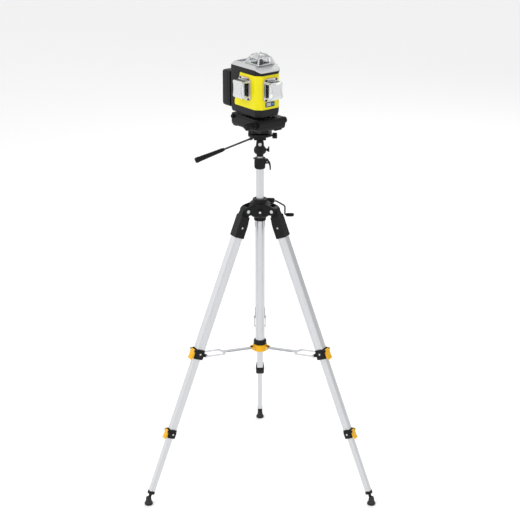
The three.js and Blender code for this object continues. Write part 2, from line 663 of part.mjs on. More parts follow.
function housing() {
  const shell = prism(bodyOutline(0), BODY.bottom, COVER.side);
  const behindYellow = bodyOutline(YELLOW.thick + GAP);
  const skin = prism(bodyOutline(-1), YELLOW.bottom - GAP, YELLOW.top + GAP, behindYellow);
  const recess = common(skin, yellowZone(GAP));
  const cavity = prism(bodyOutline(4.6), BODY.bottom + 3, COVER.side + 1);
  const shelled = cut(shell, recess, cavity, aboveSplit(0), ...windowHoles());
  const [low, high] = [PENDULUM_PIVOT - 3.5, PENDULUM_PIVOT + 3.5];
  const bracket = (x) => block(x - 2.3, x + 2.3, -4, BODY.back - 4, low, high);
  const bore = rodX(2 + PIN_GAP, -20, 20, 0, PENDULUM_PIVOT, 12);
  return cut(join(shelled, bracket(-15), bracket(15)), bore);
}

function yellowCover() {
  const skin = prism(bodyOutline(0), YELLOW.bottom, YELLOW.top, bodyOutline(YELLOW.thick));
  return cut(common(skin, yellowZone(0)), ...windowHoles());
}

function topCover() {
  const bevel = 6;
  const shape = new THREE.Shape(bodyOutline(bevel).map(([x, y]) => new THREE.Vector2(x, y)));
  const settings = { depth: 26, bevelThickness: bevel, bevelSize: bevel, bevelSegments: 1 };
  const lid = new THREE.ExtrudeGeometry(shape, settings).translate(0, 0, COVER.top - 26 - bevel);
  const hollow = prism(bodyOutline(7.5), 0, COVER.top - 3);
  const well = block(-17, 17, -17, 17, 0, COVER.top + 1);
  const { half, near, far } = KEYPAD;
  const pad = block(-half - GAP, half + GAP, near - GAP, far + GAP, COVER.top - 1.8, COVER.top + 1);
  return cut(lid, belowSplit().translate(0, 0, GAP), hollow, well, pad);
}

function domeCage() {
  const { half, foot, eave, roof, height, rib } = DOME;
  const floor = COVER.top + GAP;
  const apex = COVER.top + height;
  const opening = chamferedRectangle(43, 43, 2);
  const frame = prism(chamferedRectangle(2 * half, 2 * half, 4), floor, floor + 2.4, opening);
  const shoulder = eave * Math.SQRT2;
  const cap = prism(chamferedRectangle(2 * roof, 2 * roof, 3), apex - 4, apex);
  const pieces = [frame, cap];
  for (const quarter of [0, 1, 2, 3]) {
    const side = [
      [foot, floor], [foot - 1, floor + 3], [shoulder, floor + 18], [roof + 4, apex - 2],
      [roof - 2, apex - 2], [roof, apex - 5], [shoulder - 4, floor + 16.5],
      [foot - 5.5, floor + 2], [foot - 6, floor],
    ];
    const turn = Math.PI / 4 + quarter * (Math.PI / 2);
    pieces.push(wallSlab(side, -rib / 2, rib / 2).rotateZ(turn));
  }
  return join(...pieces);
}

// A four-sided glass hood with an open underside, from its [half width, z] outline.
function hood(outline, wall, top) {
  const outer = turned([[0, outline[0][1]], ...outline, [0, outline.at(-1)[1]]], 4);
  const inner = turned([
    [0, outline[0][1] - 1], [outline[0][0] - wall, outline[0][1] - 1],
    [outline[1][0] - wall, outline[1][1]], [outline.at(-1)[0] - wall, top], [0, top],
  ], 4);
  return cut(outer, inner).rotateZ(Math.PI / 4);
}

function domeGlass() {
  const floor = COVER.top - 1;
  const apex = COVER.top + DOME.height - 7.5;
  const corner = Math.SQRT2;
  const outline = [[16.6 * corner, floor], [16.2 * corner, floor + 13], [9.6 * corner, apex - 1]];
  return hood(outline, 1.8, apex - 2.5);
}

// A window's cage in its own frame: +Z out of the wall, +Y up, back of the flange on z = 0.
function windowCage() {
  const { wide, tall, flange, box, boxTall, reach, post } = CAGE;
  const [x, y] = [box / 2, boxTall / 2];
  const plate = prism(
    chamferedRectangle(wide, tall, 7), 0, flange,
    chamferedRectangle(box - 2 * post, boxTall - 2 * post, 1),
  );
  const pieces = [plate];
  for (const [sx, sy] of [[1, 1], [1, -1], [-1, 1], [-1, -1]]) {
    const [px, py] = [sx * (x - post / 2), sy * (y - post / 2)];
    const half = post / 2;
    pieces.push(block(px - half, px + half, py - half, py + half, flange - 1, reach - 2));
  }
  pieces.push(prism(chamferedRectangle(box, boxTall, 5), reach - 3, reach));
  const ring = new THREE.CylinderGeometry(6, 22, 2.5, 4).rotateY(Math.PI / 4).rotateX(Math.PI / 2);
  pieces.push(ring.translate(0, 0, reach + 0.9));
  return join(...pieces);
}

function windowGlass() {
  const outer = prism(chamferedRectangle(31, 34, 1.4), -3, CAGE.reach - 3 - GAP);
  const inner = block(-14.1, 14.1, -15.6, 15.6, -4, CAGE.reach - 5);
  return cut(outer, inner);
}

// Turns a window piece from its own frame onto the front or the left face.
function onFace(geometry, face) {
  geometry.rotateX(Math.PI / 2).translate(0, 0, WINDOW_Z);
  if (face === 'front') return geometry.translate(0, BODY.front - GAP, 0);
  return geometry.rotateZ(-Math.PI / 2).translate(-BODY.half - GAP, LEFT_WINDOW_Y, 0);
}

function battery() {
  const [front, back] = [BODY.back + GAP, BODY.back + BATTERY.deep];
  const { bottom, top, half } = BATTERY;
  const pack = slab([
    [front, bottom], [back - 5, bottom], [back, bottom + 5], [back, top - 5], [back - 5, top], [front, top],
  ], -half, half);
  const edge = (side) => {
    const tip = half + 1;
    const points = [[side * tip, back + 1], [side * (half - 5), back + 1], [side * tip, back - 6]];
    return prism(side > 0 ? points : points.reverse(), bottom - 1, top + 1);
  };
  const latch = slab([[back - 1, bottom + 30], [back + 1, bottom + 33], [back + 1, bottom + 40],
    [back - 1, bottom + 43]], -10, 10);
  return join(cut(pack, edge(1), edge(-1)), latch);
}

function keypad() {
  return block(-KEYPAD.half, KEYPAD.half, KEYPAD.near, KEYPAD.far, COVER.top - 1.4, COVER.top - 0.3);
}

function powerSwitch() {
  return join(
    block(BODY.half + GAP, BODY.half + 2, 50, 60, 60, 78),
    block(BODY.half + 1, BODY.half + 4, 52, 58, 64, 70),
  );
}

function pendulum() {
  const barrelTop = COVER.top + 12;
  const cone = (height) => new THREE.ConeGeometry(6.5, 7, 16).rotateX(Math.PI / 2).translate(0, 0, height);
  const upright = join(rod(7, PENDULUM_PIVOT - 5, barrelTop), cone(barrelTop + 3));
  const sideways = (length) => join(rod(7, 0, length), cone(length + 3));
  return join(
    rod(11, BODY.bottom + 50, BODY.bottom + 90, 20),
    rod(8, BODY.bottom + 40, BODY.bottom + 52),
    rod(13, BODY.bottom + 28, BODY.bottom + 41, 20),
    block(-5, 5, -5, 5, BODY.bottom + 85, PENDULUM_PIVOT + 4),
    rodX(2, -17, 17, 0, PENDULUM_PIVOT, 12),
    block(-8, 8, 9, 20.6, BODY.bottom + 44, BODY.bottom + 93),
    upright,
    sideways(-BODY.front + 6).rotateX(Math.PI / 2).translate(0, 0, WINDOW_Z),
    sideways(BODY.half + 6).rotateY(-Math.PI / 2).translate(0, LEFT_WINDOW_Y, WINDOW_Z),
  );
}

place(level, 'level_base', levelBase(), CHARCOAL);
place(level, 'turntable', turntable(), BLACK);
place(level, 'drive_knobs', driveKnobs(), BLACK);
place(level, 'housing', housing(), CHARCOAL);
place(level, 'yellow_cover', yellowCover(), YELLOW_PLASTIC);
place(level, 'top_cover', topCover(), SILVER_PAINT);
place(level, 'dome_cage', domeCage(), SILVER_PAINT);
place(level, 'dome_glass', domeGlass(), GLASS);
for (const face of ['left', 'front']) {
  place(level, `${face}_cage`, onFace(windowCage(), face), SILVER_PAINT);
  place(level, `${face}_glass`, onFace(windowGlass(), face), GLASS);
}
place(level, 'battery_pack', battery(), CHARCOAL);
place(level, 'keypad', keypad(), PANEL);
place(level, 'power_switch', powerSwitch(), BLACK);
place(level, 'pendulum', pendulum(), STEEL);

export default object;
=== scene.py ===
import json
import math

import bmesh
import bpy
from mathutils import Matrix, Vector
from mathutils.geometry import tessellate_polygon


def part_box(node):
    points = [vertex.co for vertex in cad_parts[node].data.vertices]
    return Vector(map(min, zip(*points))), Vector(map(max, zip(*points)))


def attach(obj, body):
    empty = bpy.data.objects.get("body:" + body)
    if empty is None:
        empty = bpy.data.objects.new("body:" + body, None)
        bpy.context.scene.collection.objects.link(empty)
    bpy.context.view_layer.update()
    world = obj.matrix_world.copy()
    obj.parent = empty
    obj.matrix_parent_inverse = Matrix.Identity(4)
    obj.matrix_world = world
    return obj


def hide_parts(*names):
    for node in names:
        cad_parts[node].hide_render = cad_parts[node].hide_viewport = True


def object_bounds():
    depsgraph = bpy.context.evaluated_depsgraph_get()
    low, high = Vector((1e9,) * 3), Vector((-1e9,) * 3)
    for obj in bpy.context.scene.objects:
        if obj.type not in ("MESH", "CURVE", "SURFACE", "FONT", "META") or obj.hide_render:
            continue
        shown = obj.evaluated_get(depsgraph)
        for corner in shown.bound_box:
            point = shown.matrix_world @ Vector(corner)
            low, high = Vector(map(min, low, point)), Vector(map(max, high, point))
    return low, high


# The looks of the laser level on its tripod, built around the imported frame. Sizes here are in millimetres.

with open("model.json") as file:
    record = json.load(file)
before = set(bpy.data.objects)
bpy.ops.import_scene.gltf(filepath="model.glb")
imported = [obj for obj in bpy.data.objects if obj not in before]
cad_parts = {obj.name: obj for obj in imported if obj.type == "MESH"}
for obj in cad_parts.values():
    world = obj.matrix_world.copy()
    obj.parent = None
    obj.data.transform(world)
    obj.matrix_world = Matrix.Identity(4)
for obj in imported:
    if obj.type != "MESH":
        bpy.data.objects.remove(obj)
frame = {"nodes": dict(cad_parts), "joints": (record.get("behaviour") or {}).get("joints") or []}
cad_low, cad_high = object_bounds()

MM = 0.001
FINE = 40  # sides of a small round piece
ROUND = 64  # sides of a large one


# ---------- shapes: (corners in mm, faces) ----------

def merge(*shapes):
    corners, faces = [], []
    for more_corners, more_faces in shapes:
        start = len(corners)
        corners += more_corners
        faces += [tuple(start + i for i in face) for face in more_faces]
    return corners, faces


def moved(shape, matrix):
    return [matrix @ Vector(c) for c in shape[0]], shape[1]


def shifted(shape, x=0.0, y=0.0, z=0.0):
    return moved(shape, Matrix.Translation((x, y, z)))


def spun(shape, degrees, axis="Z"):
    return moved(shape, Matrix.Rotation(math.radians(degrees), 4, axis))


def loft(rings):
    """Skins rings of equal length, and closes both ends with one face each."""
    count = len(rings[0])
    corners = [Vector(c) for ring in rings for c in ring]
    faces = [tuple(reversed(range(count)))]
    for k in range(len(rings) - 1):
        low, high = k * count, (k + 1) * count
        for i in range(count):
            j = (i + 1) % count
            faces.append((low + i, low + j, high + j, high + i))
    faces.append(tuple(range(len(corners) - count, len(corners))))
    return corners, faces


def at(z, outline):
    return [(x, y, z) for x, y in outline]


def stack(plan, *levels):
    """A loft through a plan drawn at (height, inset) levels."""
    return loft([at(z, plan(inset)) for z, inset in levels])


def prism(outline, z0, z1, holes=()):
    """A flat outline raised from z0 to z1, with holes through it."""
    if not holes:
        return loft([at(z, outline) for z in (z0, z1)])
    loops = [list(outline)] + [list(hole) for hole in holes]
    flat = [Vector((x, y, 0)) for loop in loops for x, y in loop]
    triangles = tessellate_polygon([[Vector((x, y, 0)) for x, y in loop] for loop in loops])
    total = len(flat)
    corners = [Vector((c.x, c.y, z)) for z in (z0, z1) for c in flat]
    faces = [tuple(t) for t in triangles] + [tuple(total + i for i in reversed(t)) for t in triangles]
    start = 0
    for loop in loops:
        count = len(loop)
        for i in range(count):
            a, b = start + i, start + (i + 1) % count
            faces.append((a, b, total + b, total + a))
        start += count
    return corners, faces


def box(x0, x1, y0, y1, z0, z1):
    return prism([(x0, y0), (x1, y0), (x1, y1), (x0, y1)], z0, z1)


def circle(radius, sides=FINE):
    turn = 2 * math.pi / sides
    return [(radius * math.cos(i * turn), radius * math.sin(i * turn)) for i in range(sides)]


def fluted(outer, inner, flutes, steps=6):
    """A circle with rounded flutes, as on a grip knob."""
    points = []
    for i in range(flutes * steps):
        phase = 2 * math.pi * (i % steps) / steps
        radius = inner + (outer - inner) * (0.5 + 0.5 * math.cos(phase)) ** 0.5
        angle = 2 * math.pi * i / (flutes * steps)
        points.append((radius * math.cos(angle), radius * math.sin(angle)))
    return points


def rod(radius, z0, z1, sides=FINE):
    return prism(circle(radius, sides), z0, z1)


def pipe(outer, inner, z0, z1, sides=ROUND):
    return prism(circle(outer, sides), z0, z1, [circle(inner, sides)])


def turned(profile, sides=ROUND):
    """A turned solid from its (radius, z) outline; the two ends are closed by flat faces."""
    return loft([at(z, circle(max(radius, 0.01), sides)) for radius, z in profile])


def bend_point(start, corner, end, t):
    """A point on the smooth bend that cuts a corner off."""
    return start * (1 - t) ** 2 + corner * 2 * t * (1 - t) + end * t ** 2


def rounded(outline, radius, steps=4):
    """An outline with its corners rounded; radius is one number or one for each corner."""
    points = []
    count = len(outline)
    for i, corner in enumerate(outline):
        here = Vector(corner)
        before, after = Vector(outline[i - 1]), Vector(outline[(i + 1) % count])
        size = radius[i] if isinstance(radius, (list, tuple)) else radius
        to_before, to_after = before - here, after - here
        reach = min(size, to_before.length * 0.48, to_after.length * 0.48)
        start, end = here + to_before.normalized() * reach, here + to_after.normalized() * reach
        for k in range(steps + 1):
            bend = bend_point(start, here, end, k / steps)
            points.append((bend.x, bend.y))
    return points


def rectangle(wide, deep, chamfer=0.0):
    x, y = wide / 2, deep / 2
    if not chamfer:
        return [(x, -y), (x, y), (-x, y), (-x, -y)]
    near_x, near_y = x - chamfer, y - chamfer
    return [
        (x, -near_y), (x, near_y), (near_x, y), (-near_x, y), (-x, near_y), (-x, -near_y), (-near_x, -y),
        (near_x, -y),
    ]


def soft_box(wide, deep, radius, steps=4):
    """The outline of a rectangle with rounded corners."""
    return rounded(rectangle(wide, deep), radius, steps)


def ball(radius, spot, sides=20):
    half = sides // 2
    angles = [math.pi * k / half for k in range(1, half)]
    return shifted(turned([(radius * math.sin(a), -radius * math.cos(a)) for a in angles], sides), *spot)


def bent_rod(points, radius, bend, steps=6):
    """A round rod along corners that are bent to a radius."""
    path = [Vector(points[0])]
    for corners in zip(points, points[1:], points[2:]):
        before, here, after = [Vector(c) for c in corners]
        start = here + (before - here).normalized() * bend
        end = here + (after - here).normalized() * bend
        path += [bend_point(start, here, end, k / steps) for k in range(steps + 1)]
    path.append(Vector(points[-1]))
    rings = []
    side = (path[1] - path[0]).normalized().orthogonal().normalized()
    for i, point in enumerate(path):
        ahead = (path[min(i + 1, len(path) - 1)] - path[max(i - 1, 0)]).normalized()
        side = (side - ahead * side.dot(ahead)).normalized()
        other = ahead.cross(side)
        rings.append([point + side * x + other * y for x, y in circle(radius, 20)])
    return loft(rings)


ALONG_X = Matrix(((0, 0, 1, 0), (0, 1, 0, 0), (-1, 0, 0, 0), (0, 0, 0, 1)))  # Z to X, X to -Z
ALONG_Y = Matrix(((1, 0, 0, 0), (0, 0, 1, 0), (0, -1, 0, 0), (0, 0, 0, 1)))  # Z to Y, Y to -Z
SIDEWAYS = Matrix(((0, 0, 1, 0), (1, 0, 0, 0), (0, 1, 0, 0), (0, 0, 0, 1)))  # x, y, z to Y, Z, X
UPRIGHT = Matrix(((1, 0, 0, 0), (0, 0, -1, 0), (0, 1, 0, 0), (0, 0, 0, 1)))  # x, y, z to X, Z, -Y


def rod_x(radius, x0, x1, y=0.0, z=0.0, sides=FINE):
    return shifted(moved(rod(radius, x0, x1, sides), ALONG_X), 0, y, z)


def rod_y(radius, y0, y1, x=0.0, z=0.0, sides=FINE):
    return shifted(moved(rod(radius, y0, y1, sides), ALONG_Y), x, 0, z)


def grip(outline, profile):
    """A grip along X: one outline, scaled at each (scale, x) of its profile."""
    return moved(loft([[(x * k, y * k, z) for x, y in outline] for k, z in profile]), ALONG_X)


def slab(outline, x0, x1):
    """An outline of (y, z) points raised along X."""
    return moved(prism(outline, x0, x1), SIDEWAYS)


def wall(outline, y0, y1):
    """An outline of (x, z) points raised along Y."""
    return moved(prism(outline, -y1, -y0), UPRIGHT)


def walls(outline, thick, *starts):
    """Walls of one outline and thickness that begin at several places along Y."""
    return merge(*[wall(outline, y, y + thick) for y in starts])


# ---------- objects ----------

def link(name, data):
    made = bpy.data.objects.new(name, data)
    bpy.context.scene.collection.objects.link(made)
    return made


def solid(name, shape):
    mesh = bpy.data.meshes.new(name)
    mesh.from_pydata([Vector(c) * MM for c in shape[0]], [], shape[1])
    work = bmesh.new()
    work.from_mesh(mesh)
    bmesh.ops.remove_doubles(work, verts=work.verts, dist=1e-6)
    bmesh.ops.recalc_face_normals(work, faces=work.faces)
    work.to_mesh(mesh)
    work.free()
    return link(name, mesh)


def combine(shape, others, operation):
    """The boolean of a shape with others, worked out with exact booleans."""
    body = solid("work_body", shape)
    tools = [solid("work_tool", other) for other in others]
    for tool in tools:
        modifier = body.modifiers.new("cut", "BOOLEAN")
        modifier.operation = operation
        modifier.solver = "EXACT"
        modifier.object = tool
    bpy.context.view_layer.update()
    done = body.evaluated_get(bpy.context.evaluated_depsgraph_get()).to_mesh()
    corners = [v.co / MM for v in done.vertices]
    faces = [tuple(p.vertices) for p in done.polygons]
    for spare in [body, *tools]:
        data = spare.data
        bpy.data.objects.remove(spare)
        bpy.data.meshes.remove(data)
    return corners, faces


def cut(shape, *others):
    return combine(shape, others, "DIFFERENCE")


def common(shape, *others):
    return combine(shape, others, "INTERSECT")


def piece(name, shape, look, body, where, bevel=0.4, replaces=(), steps=2, crease=35):
    """One visible piece: its shape in the place's own frame, with softened edges."""
    made = solid(name, shape)
    made.matrix_world = where
    mesh = made.data
    material, slot = look
    mesh.materials.append(material)
    mesh.polygons.foreach_set("use_smooth", [True] * len(mesh.polygons))
    mesh.set_sharp_from_angle(angle=math.radians(crease))
    if bevel:
        soft = made.modifiers.new("soft_edges", "BEVEL")
        soft.width = bevel * MM
        soft.segments = steps
        soft.limit_method = "ANGLE"
        soft.angle_limit = math.radians(crease)
        soft.use_clamp_overlap = True
        soft.harden_normals = True
    bpy.context.view_layer.update()
    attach(made, body)
    if replaces:
        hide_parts(*replaces)


def pieces_on(body, where):
    """A shorter piece(), for pieces on one body that are drawn in one place's frame."""
    def add(name, shape, look, *rest):
        piece(name, shape, look, body, where, *rest)
    return add


# ---------- materials ----------

def put(node, values):
    for socket, value in values.items():
        node.inputs[socket].default_value = value


def finish(name, slot, colour, roughness, metallic=0.0, tint=0.04, grain=900.0, bump=0.05, coat=0.0,
           stretch=(1, 1, 1), wear=0.06, specular=0.5):
    """A moulded, cast or drawn surface: fine grain in its bump, soft drifts in colour and roughness."""
    material = bpy.data.materials.new(name)
    material.use_nodes = True
    nodes, links = material.node_tree.nodes, material.node_tree.links
    shader = nodes["Principled BSDF"]
    put(shader, {
        "Metallic": metallic, "Coat Weight": coat, "Coat Roughness": 0.08, "Specular IOR Level": specular,
    })
    place = nodes.new("ShaderNodeTexCoord")
    spread = nodes.new("ShaderNodeMapping")
    put(spread, {"Scale": stretch})
    links.new(place.outputs["Object"], spread.inputs["Vector"])

    def noise(scale, detail):
        made = nodes.new("ShaderNodeTexNoise")
        put(made, {"Scale": scale, "Detail": detail})
        links.new(spread.outputs["Vector"], made.inputs["Vector"])
        return made.outputs["Fac"]

    drift = noise(38.0, 3.0)
    fine = noise(grain, 2.0)
    shades = nodes.new("ShaderNodeMix")
    shades.data_type = "RGBA"
    shades.inputs["A"].default_value = (*[max(c * (1 - tint), 0.0) for c in colour], 1)
    shades.inputs["B"].default_value = (*[min(c * (1 + tint), 1.0) for c in colour], 1)
    links.new(drift, shades.inputs["Factor"])
    links.new(shades.outputs["Result"], shader.inputs["Base Color"])
    dull = nodes.new("ShaderNodeMapRange")
    put(dull, {"To Min": max(roughness - wear, 0.02), "To Max": min(roughness + wear, 1.0)})
    links.new(fine, dull.inputs["Value"])
    links.new(dull.outputs["Result"], shader.inputs["Roughness"])
    relief = nodes.new("ShaderNodeBump")
    put(relief, {"Strength": bump, "Distance": 0.0001})
    links.new(fine, relief.inputs["Height"])
    links.new(relief.outputs["Normal"], shader.inputs["Normal"])
    return material, slot


def glass(name, slot, colour):
    material, slot = finish(name, slot, colour, 0.03, tint=0.01, grain=120.0, bump=0.01, wear=0.01)
    put(material.node_tree.nodes["Principled BSDF"], {"Transmission Weight": 0.96, "IOR": 1.18})
    return material, slot


def glowing(name, slot, colour, strength):
    material, slot = finish(name, slot, colour, 0.2, tint=0.1)
    glow = {"Emission Color": (*colour, 1), "Emission Strength": strength}
    put(material.node_tree.nodes["Principled BSDF"], glow)
    return material, slot


BLACK = finish("black_moulding", "black_plastic", (0.005, 0.005, 0.0055), 0.46, grain=2600, bump=0.25,
               specular=0.2)
CHARCOAL = finish("charcoal_moulding", "charcoal_plastic", (0.0105, 0.0108, 0.0115), 0.5, grain=3000,
                  bump=0.3, specular=0.2)
BASE_BLACK = finish("base_moulding", "charcoal_plastic", (0.005, 0.005, 0.0055), 0.42, grain=2600, bump=0.2,
                    specular=0.2)
RUBBER = finish("foot_rubber", "rubber_foot", (0.02, 0.02, 0.021), 0.8, grain=1500, bump=0.3)
YELLOW = finish("yellow_moulding", "yellow_plastic", (0.75, 0.67, 0.0015), 0.36, tint=0.025, grain=3200,
                bump=0.12, specular=0.3)
MUSTARD = finish("mustard_moulding", "mustard_plastic", (0.80, 0.42, 0.004), 0.38, tint=0.03, specular=0.3)
ALONG_TUBE = (1, 1, 0.02)  # draws the grain out along a drawn tube
TUBE = finish("anodised_tube", "aluminium_tube", (0.62, 0.63, 0.65), 0.34, metallic=0.85, tint=0.03,
              grain=700, bump=0.12, stretch=ALONG_TUBE)
BRIGHT = finish("worn_bright_tube", "aluminium_tube", (0.74, 0.75, 0.77), 0.28, metallic=0.9, tint=0.05,
                grain=700, bump=0.1, stretch=ALONG_TUBE)
SILVER = finish("silver_lacquer", "silver_paint", (0.60, 0.605, 0.61), 0.34, metallic=0.7, tint=0.03,
                grain=5200, bump=0.12, coat=0.12)
CHROME = finish("cage_lacquer", "silver_paint", (0.70, 0.71, 0.72), 0.2, metallic=0.75, tint=0.02,
                grain=1800, bump=0.01, coat=0.2, wear=0.02)
# a dark grey that paints shade along the window plates' creases
PAINTED_CREASE_SHADE = finish("cage_crease", "silver_paint", (0.13, 0.13, 0.135), 0.4, metallic=0.5)
DOME_PAINT = finish("dome_lacquer", "silver_paint", (0.60, 0.605, 0.61), 0.28, metallic=0.75, tint=0.02,
                    grain=1800, bump=0.01, coat=0.1, wear=0.02)
STEEL = finish("plated_steel", "steel", (0.56, 0.57, 0.58), 0.25, metallic=1.0, grain=1200, bump=0.05)
DARK_STEEL = finish("blackened_steel", "steel", (0.03, 0.03, 0.032), 0.35, metallic=0.4, grain=1500,
                    bump=0.1)
PANEL = finish("keypad_film", "dark_panel", (0.006, 0.010, 0.026), 0.16, tint=0.15, coat=0.3, bump=0.02,
               specular=0.4)
ICON = finish("keypad_print", "dark_panel", (0.60, 0.66, 0.74), 0.4, tint=0.02)
BLUE = finish("blue_print", "dark_panel", (0.03, 0.26, 0.60), 0.35, tint=0.03)
LABEL = finish("label_film", "dark_panel", (0.022, 0.024, 0.028), 0.35, tint=0.05)
GASKET = finish("window_gasket", "rubber_foot", (0.62, 0.20, 0.02), 0.6, tint=0.06)
INNER = finish("inner_module", "steel", (0.02, 0.02, 0.022), 0.5, metallic=0.1)
DIODE = glowing("diode_lens", "steel", (0.55, 0.03, 0.02), 0.4)
WINDOW = glass("clear_window", "window_glass", (0.90, 0.93, 0.94))
SMOKED = glass("smoked_window", "window_glass", (0.42, 0.43, 0.44))


# ---------- places, from the frame ----------

JOINTS = {joint["name"]: joint for joint in frame["joints"]}


def joint_frame(origin, x_axis, z_axis):
    """A place with its origin at a point of the frame, from its X and Z directions."""
    z = Vector(z_axis).normalized()
    x = Vector(x_axis)
    x = (x - z * x.dot(z)).normalized()
    turn = Matrix((x, z.cross(x), z)).transposed().to_4x4()
    return Matrix.Translation(origin) @ turn


def offset(where, x=0.0, y=0.0, z=0.0):
    """A place moved along its own axes, in mm."""
    return where @ Matrix.Translation(Vector((x, y, z)) * MM)


def span(node, where):
    """The lowest and highest corner of a CAD node in a place's own frame, in mm."""
    back = where.inverted()
    points = [back @ v.co for v in frame["nodes"][node].data.vertices]
    low = Vector([min(p[k] for p in points) for k in range(3)])
    high = Vector([max(p[k] for p in points) for k in range(3)])
    return low / MM, high / MM


def centre(node, where):
    low, high = span(node, where)
    return (low + high) / 2


def joint_spot(name, where):
    """Where a joint is in a place's own frame, in mm."""
    return where.inverted() @ Vector(JOINTS[name]["pos_m"]) / MM


guide_low, guide_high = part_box("guide_tube")
AXIS = (guide_low + guide_high) / 2
TRIPOD = Matrix.Translation((AXIS.x, AXIS.y, 0))


def leg_place(i):
    """A leg's own frame: origin on its hinge, Z up along the leg, X outward."""
    fold = JOINTS[f"leg_{i}_fold"]
    along = Vector(JOINTS[f"leg_{i}_middle_slide"]["axis"])
    return joint_frame(fold["pos_m"], Vector(fold["axis"]).cross(along), along)


LEG_NUMBERS = (1, 2, 3)
LEGS = {i: leg_place(i) for i in LEG_NUMBERS}
base_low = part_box("level_base")[0]
LEVEL = joint_frame((AXIS.x, AXIS.y, base_low.z), JOINTS["drive_knobs_turn"]["axis"], (0, 0, 1))

body_low, body_high = span("housing", LEVEL)
BODY_HALF = body_high.x
BODY_FRONT, BODY_BACK = body_low.y, body_high.y
BODY_BOTTOM = body_low.z
CHAMFER = 14.0
REAR_ROUND = 6.0
yellow_low, yellow_high = span("yellow_cover", LEVEL)
YELLOW_TOP_REAR = 32.7
cover_low, cover_high = span("top_cover", LEVEL)
COVER_TOP = cover_high.z
COVER_FRONT = cover_low.z
COVER_SIDE = body_high.z
WINDOW_Z = centre("front_cage", LEVEL).z
LEFT_Y = centre("left_cage", LEVEL).y
KEYPAD_Y = centre("keypad", LEVEL).y
EAR_X, EAR_Z = -20.0, -404.0  # the spreader's lug in a leg's own frame
CRANK_Z = 803  # height of the crank's axle


def body_plan(inset):
    """The level's plan, drawn in by an inset: chamfered front corners, rounded rear ones."""
    x = BODY_HALF - inset
    front, back = BODY_FRONT + inset, BODY_BACK - inset
    c = CHAMFER - 0.586 * inset
    outline = [(x - c, front), (x, front + c), (x, back), (-x, back), (-x, front + c), (c - x, front)]
    soft = max(3.0 - inset * 0.3, 0.6)
    rear = max(REAR_ROUND - inset, 0.6)
    return rounded(outline, [soft, soft, rear, rear, soft, soft])


# ---------- level: base ----------

def level_base():
    low, high = span("level_base", LEVEL)
    half, back, height = high.x, high.y, high.z
    front = low.y + 10.5
    drive = joint_spot("drive_knobs_turn", LEVEL)
    add = pieces_on("platform", LEVEL)

    def plan(inset):
        x = half - inset
        outline = [(x, front - 0.5), (x, back - inset), (-x, back - inset), (-x, front - 0.5)]
        return rounded(outline, [0.5, 8, 8, 0.5], 6)

    floor = 23.5
    lid = height - 4.4
    tray = stack(
        plan, (2.6, 2.4), (5.4, 0.7), (9.0, 0.5), (9.3, 0), (lid - 1.0, 0), (lid - 0.8, 1.0), (lid, 1.0),
        (lid + 0.2, 0.1), (height - 1.2, 0.2), (height, 1.4),
    )
    well = rod(34, floor, height + 1, ROUND)
    tongue_slot = box(-14, 14, front + 1, -27, floor, height + 1)
    shaft_bore = rod_x(3.4, -60, 60, drive.y, drive.z)
    worm_bay = rod_x(4.4, -12, 13, drive.y, drive.z)
    thread_hole = rod(3.5, -1, 12)
    hollowed = cut(tray, well, tongue_slot, shaft_bore, worm_bay, thread_hole)
    add("base_tray", hollowed, BASE_BLACK, 0.3, ("level_base",), 2, 30)
    pads = []
    for y in (back - 13, (back + front) / 2, front + 9):
        for x in (-half + 13, half - 13):
            pads.append(shifted(prism(soft_box(20, 16, 4), 0, 3.2), x, y))
    for x in (-half + 20, half - 20):
        pads.append(shifted(prism(soft_box(24, 7, 3), 0, 3.2), x, front - 4))
    add("base_pads", merge(*pads), BASE_BLACK, 0.5)

    tip = low.y
    profile = [
        (front + 0.4, height), (front - 3, height - 0.6), (front - 7, height - 3.6),
        (tip + 0.4, height - 9), (tip, height - 12), (tip, 11.6), (tip + 0.7, 11.2), (tip + 0.9, 8.5),
        (front - 7.4, 4.4), (front - 4, 1.6), (front + 0.4, 1.2),
    ]
    soft = [0.3, 3, 4, 4, 3, 0.2, 0.3, 3, 3, 3, 0.3]
    nose = cut(slab(rounded(profile, soft, 5)[::-1], -half, half), tongue_slot, shaft_bore)
    add("base_nose", nose, BASE_BLACK, 0.8, (), 3)
    top, foot = height + 3, height - 2
    ear = [(front + 1.6, top), (front + 3, top), (front + 3, foot), (front - 2, foot)]
    add("base_index_ears", merge(*[slab(ear, x - 1.6, x + 1.6) for x in (-9, 15)]), BASE_BLACK, 0.4)
    knob = moved(merge(prism(fluted(5.2, 4.6, 12), 0, 5.6), rod(3.6, 5.5, 6.2)), ALONG_X)
    add("rear_lock_knob", shifted(spun(knob, 180), 0.6 - half, back - 12, height - 7.4), BLACK, 0.3)


def turntable():
    low, high = span("turntable", LEVEL)
    add = pieces_on("turntable", LEVEL)
    z = low.z
    disc = turned([(31, z), (33, z + 0.8), (33, 29), (32, 30), (26, 30.6), (25.5, 34), (26, high.z)])
    add("turntable_disc", disc, BLACK, 0.3, ("turntable",))
    marks = []
    for k in range(36):
        length = 3.4 if k % 3 == 0 else 2.0
        marks.append(spun(box(-0.25, 0.25, 31.4 - length, 31.4, 29.9, 30.3), 10 * k))
    add("turntable_marks", merge(*marks), ICON, 0)
    add("turntable_tongue", box(-4, 4, low.y, -30, z, z + 4), DARK_STEEL, 0.5)


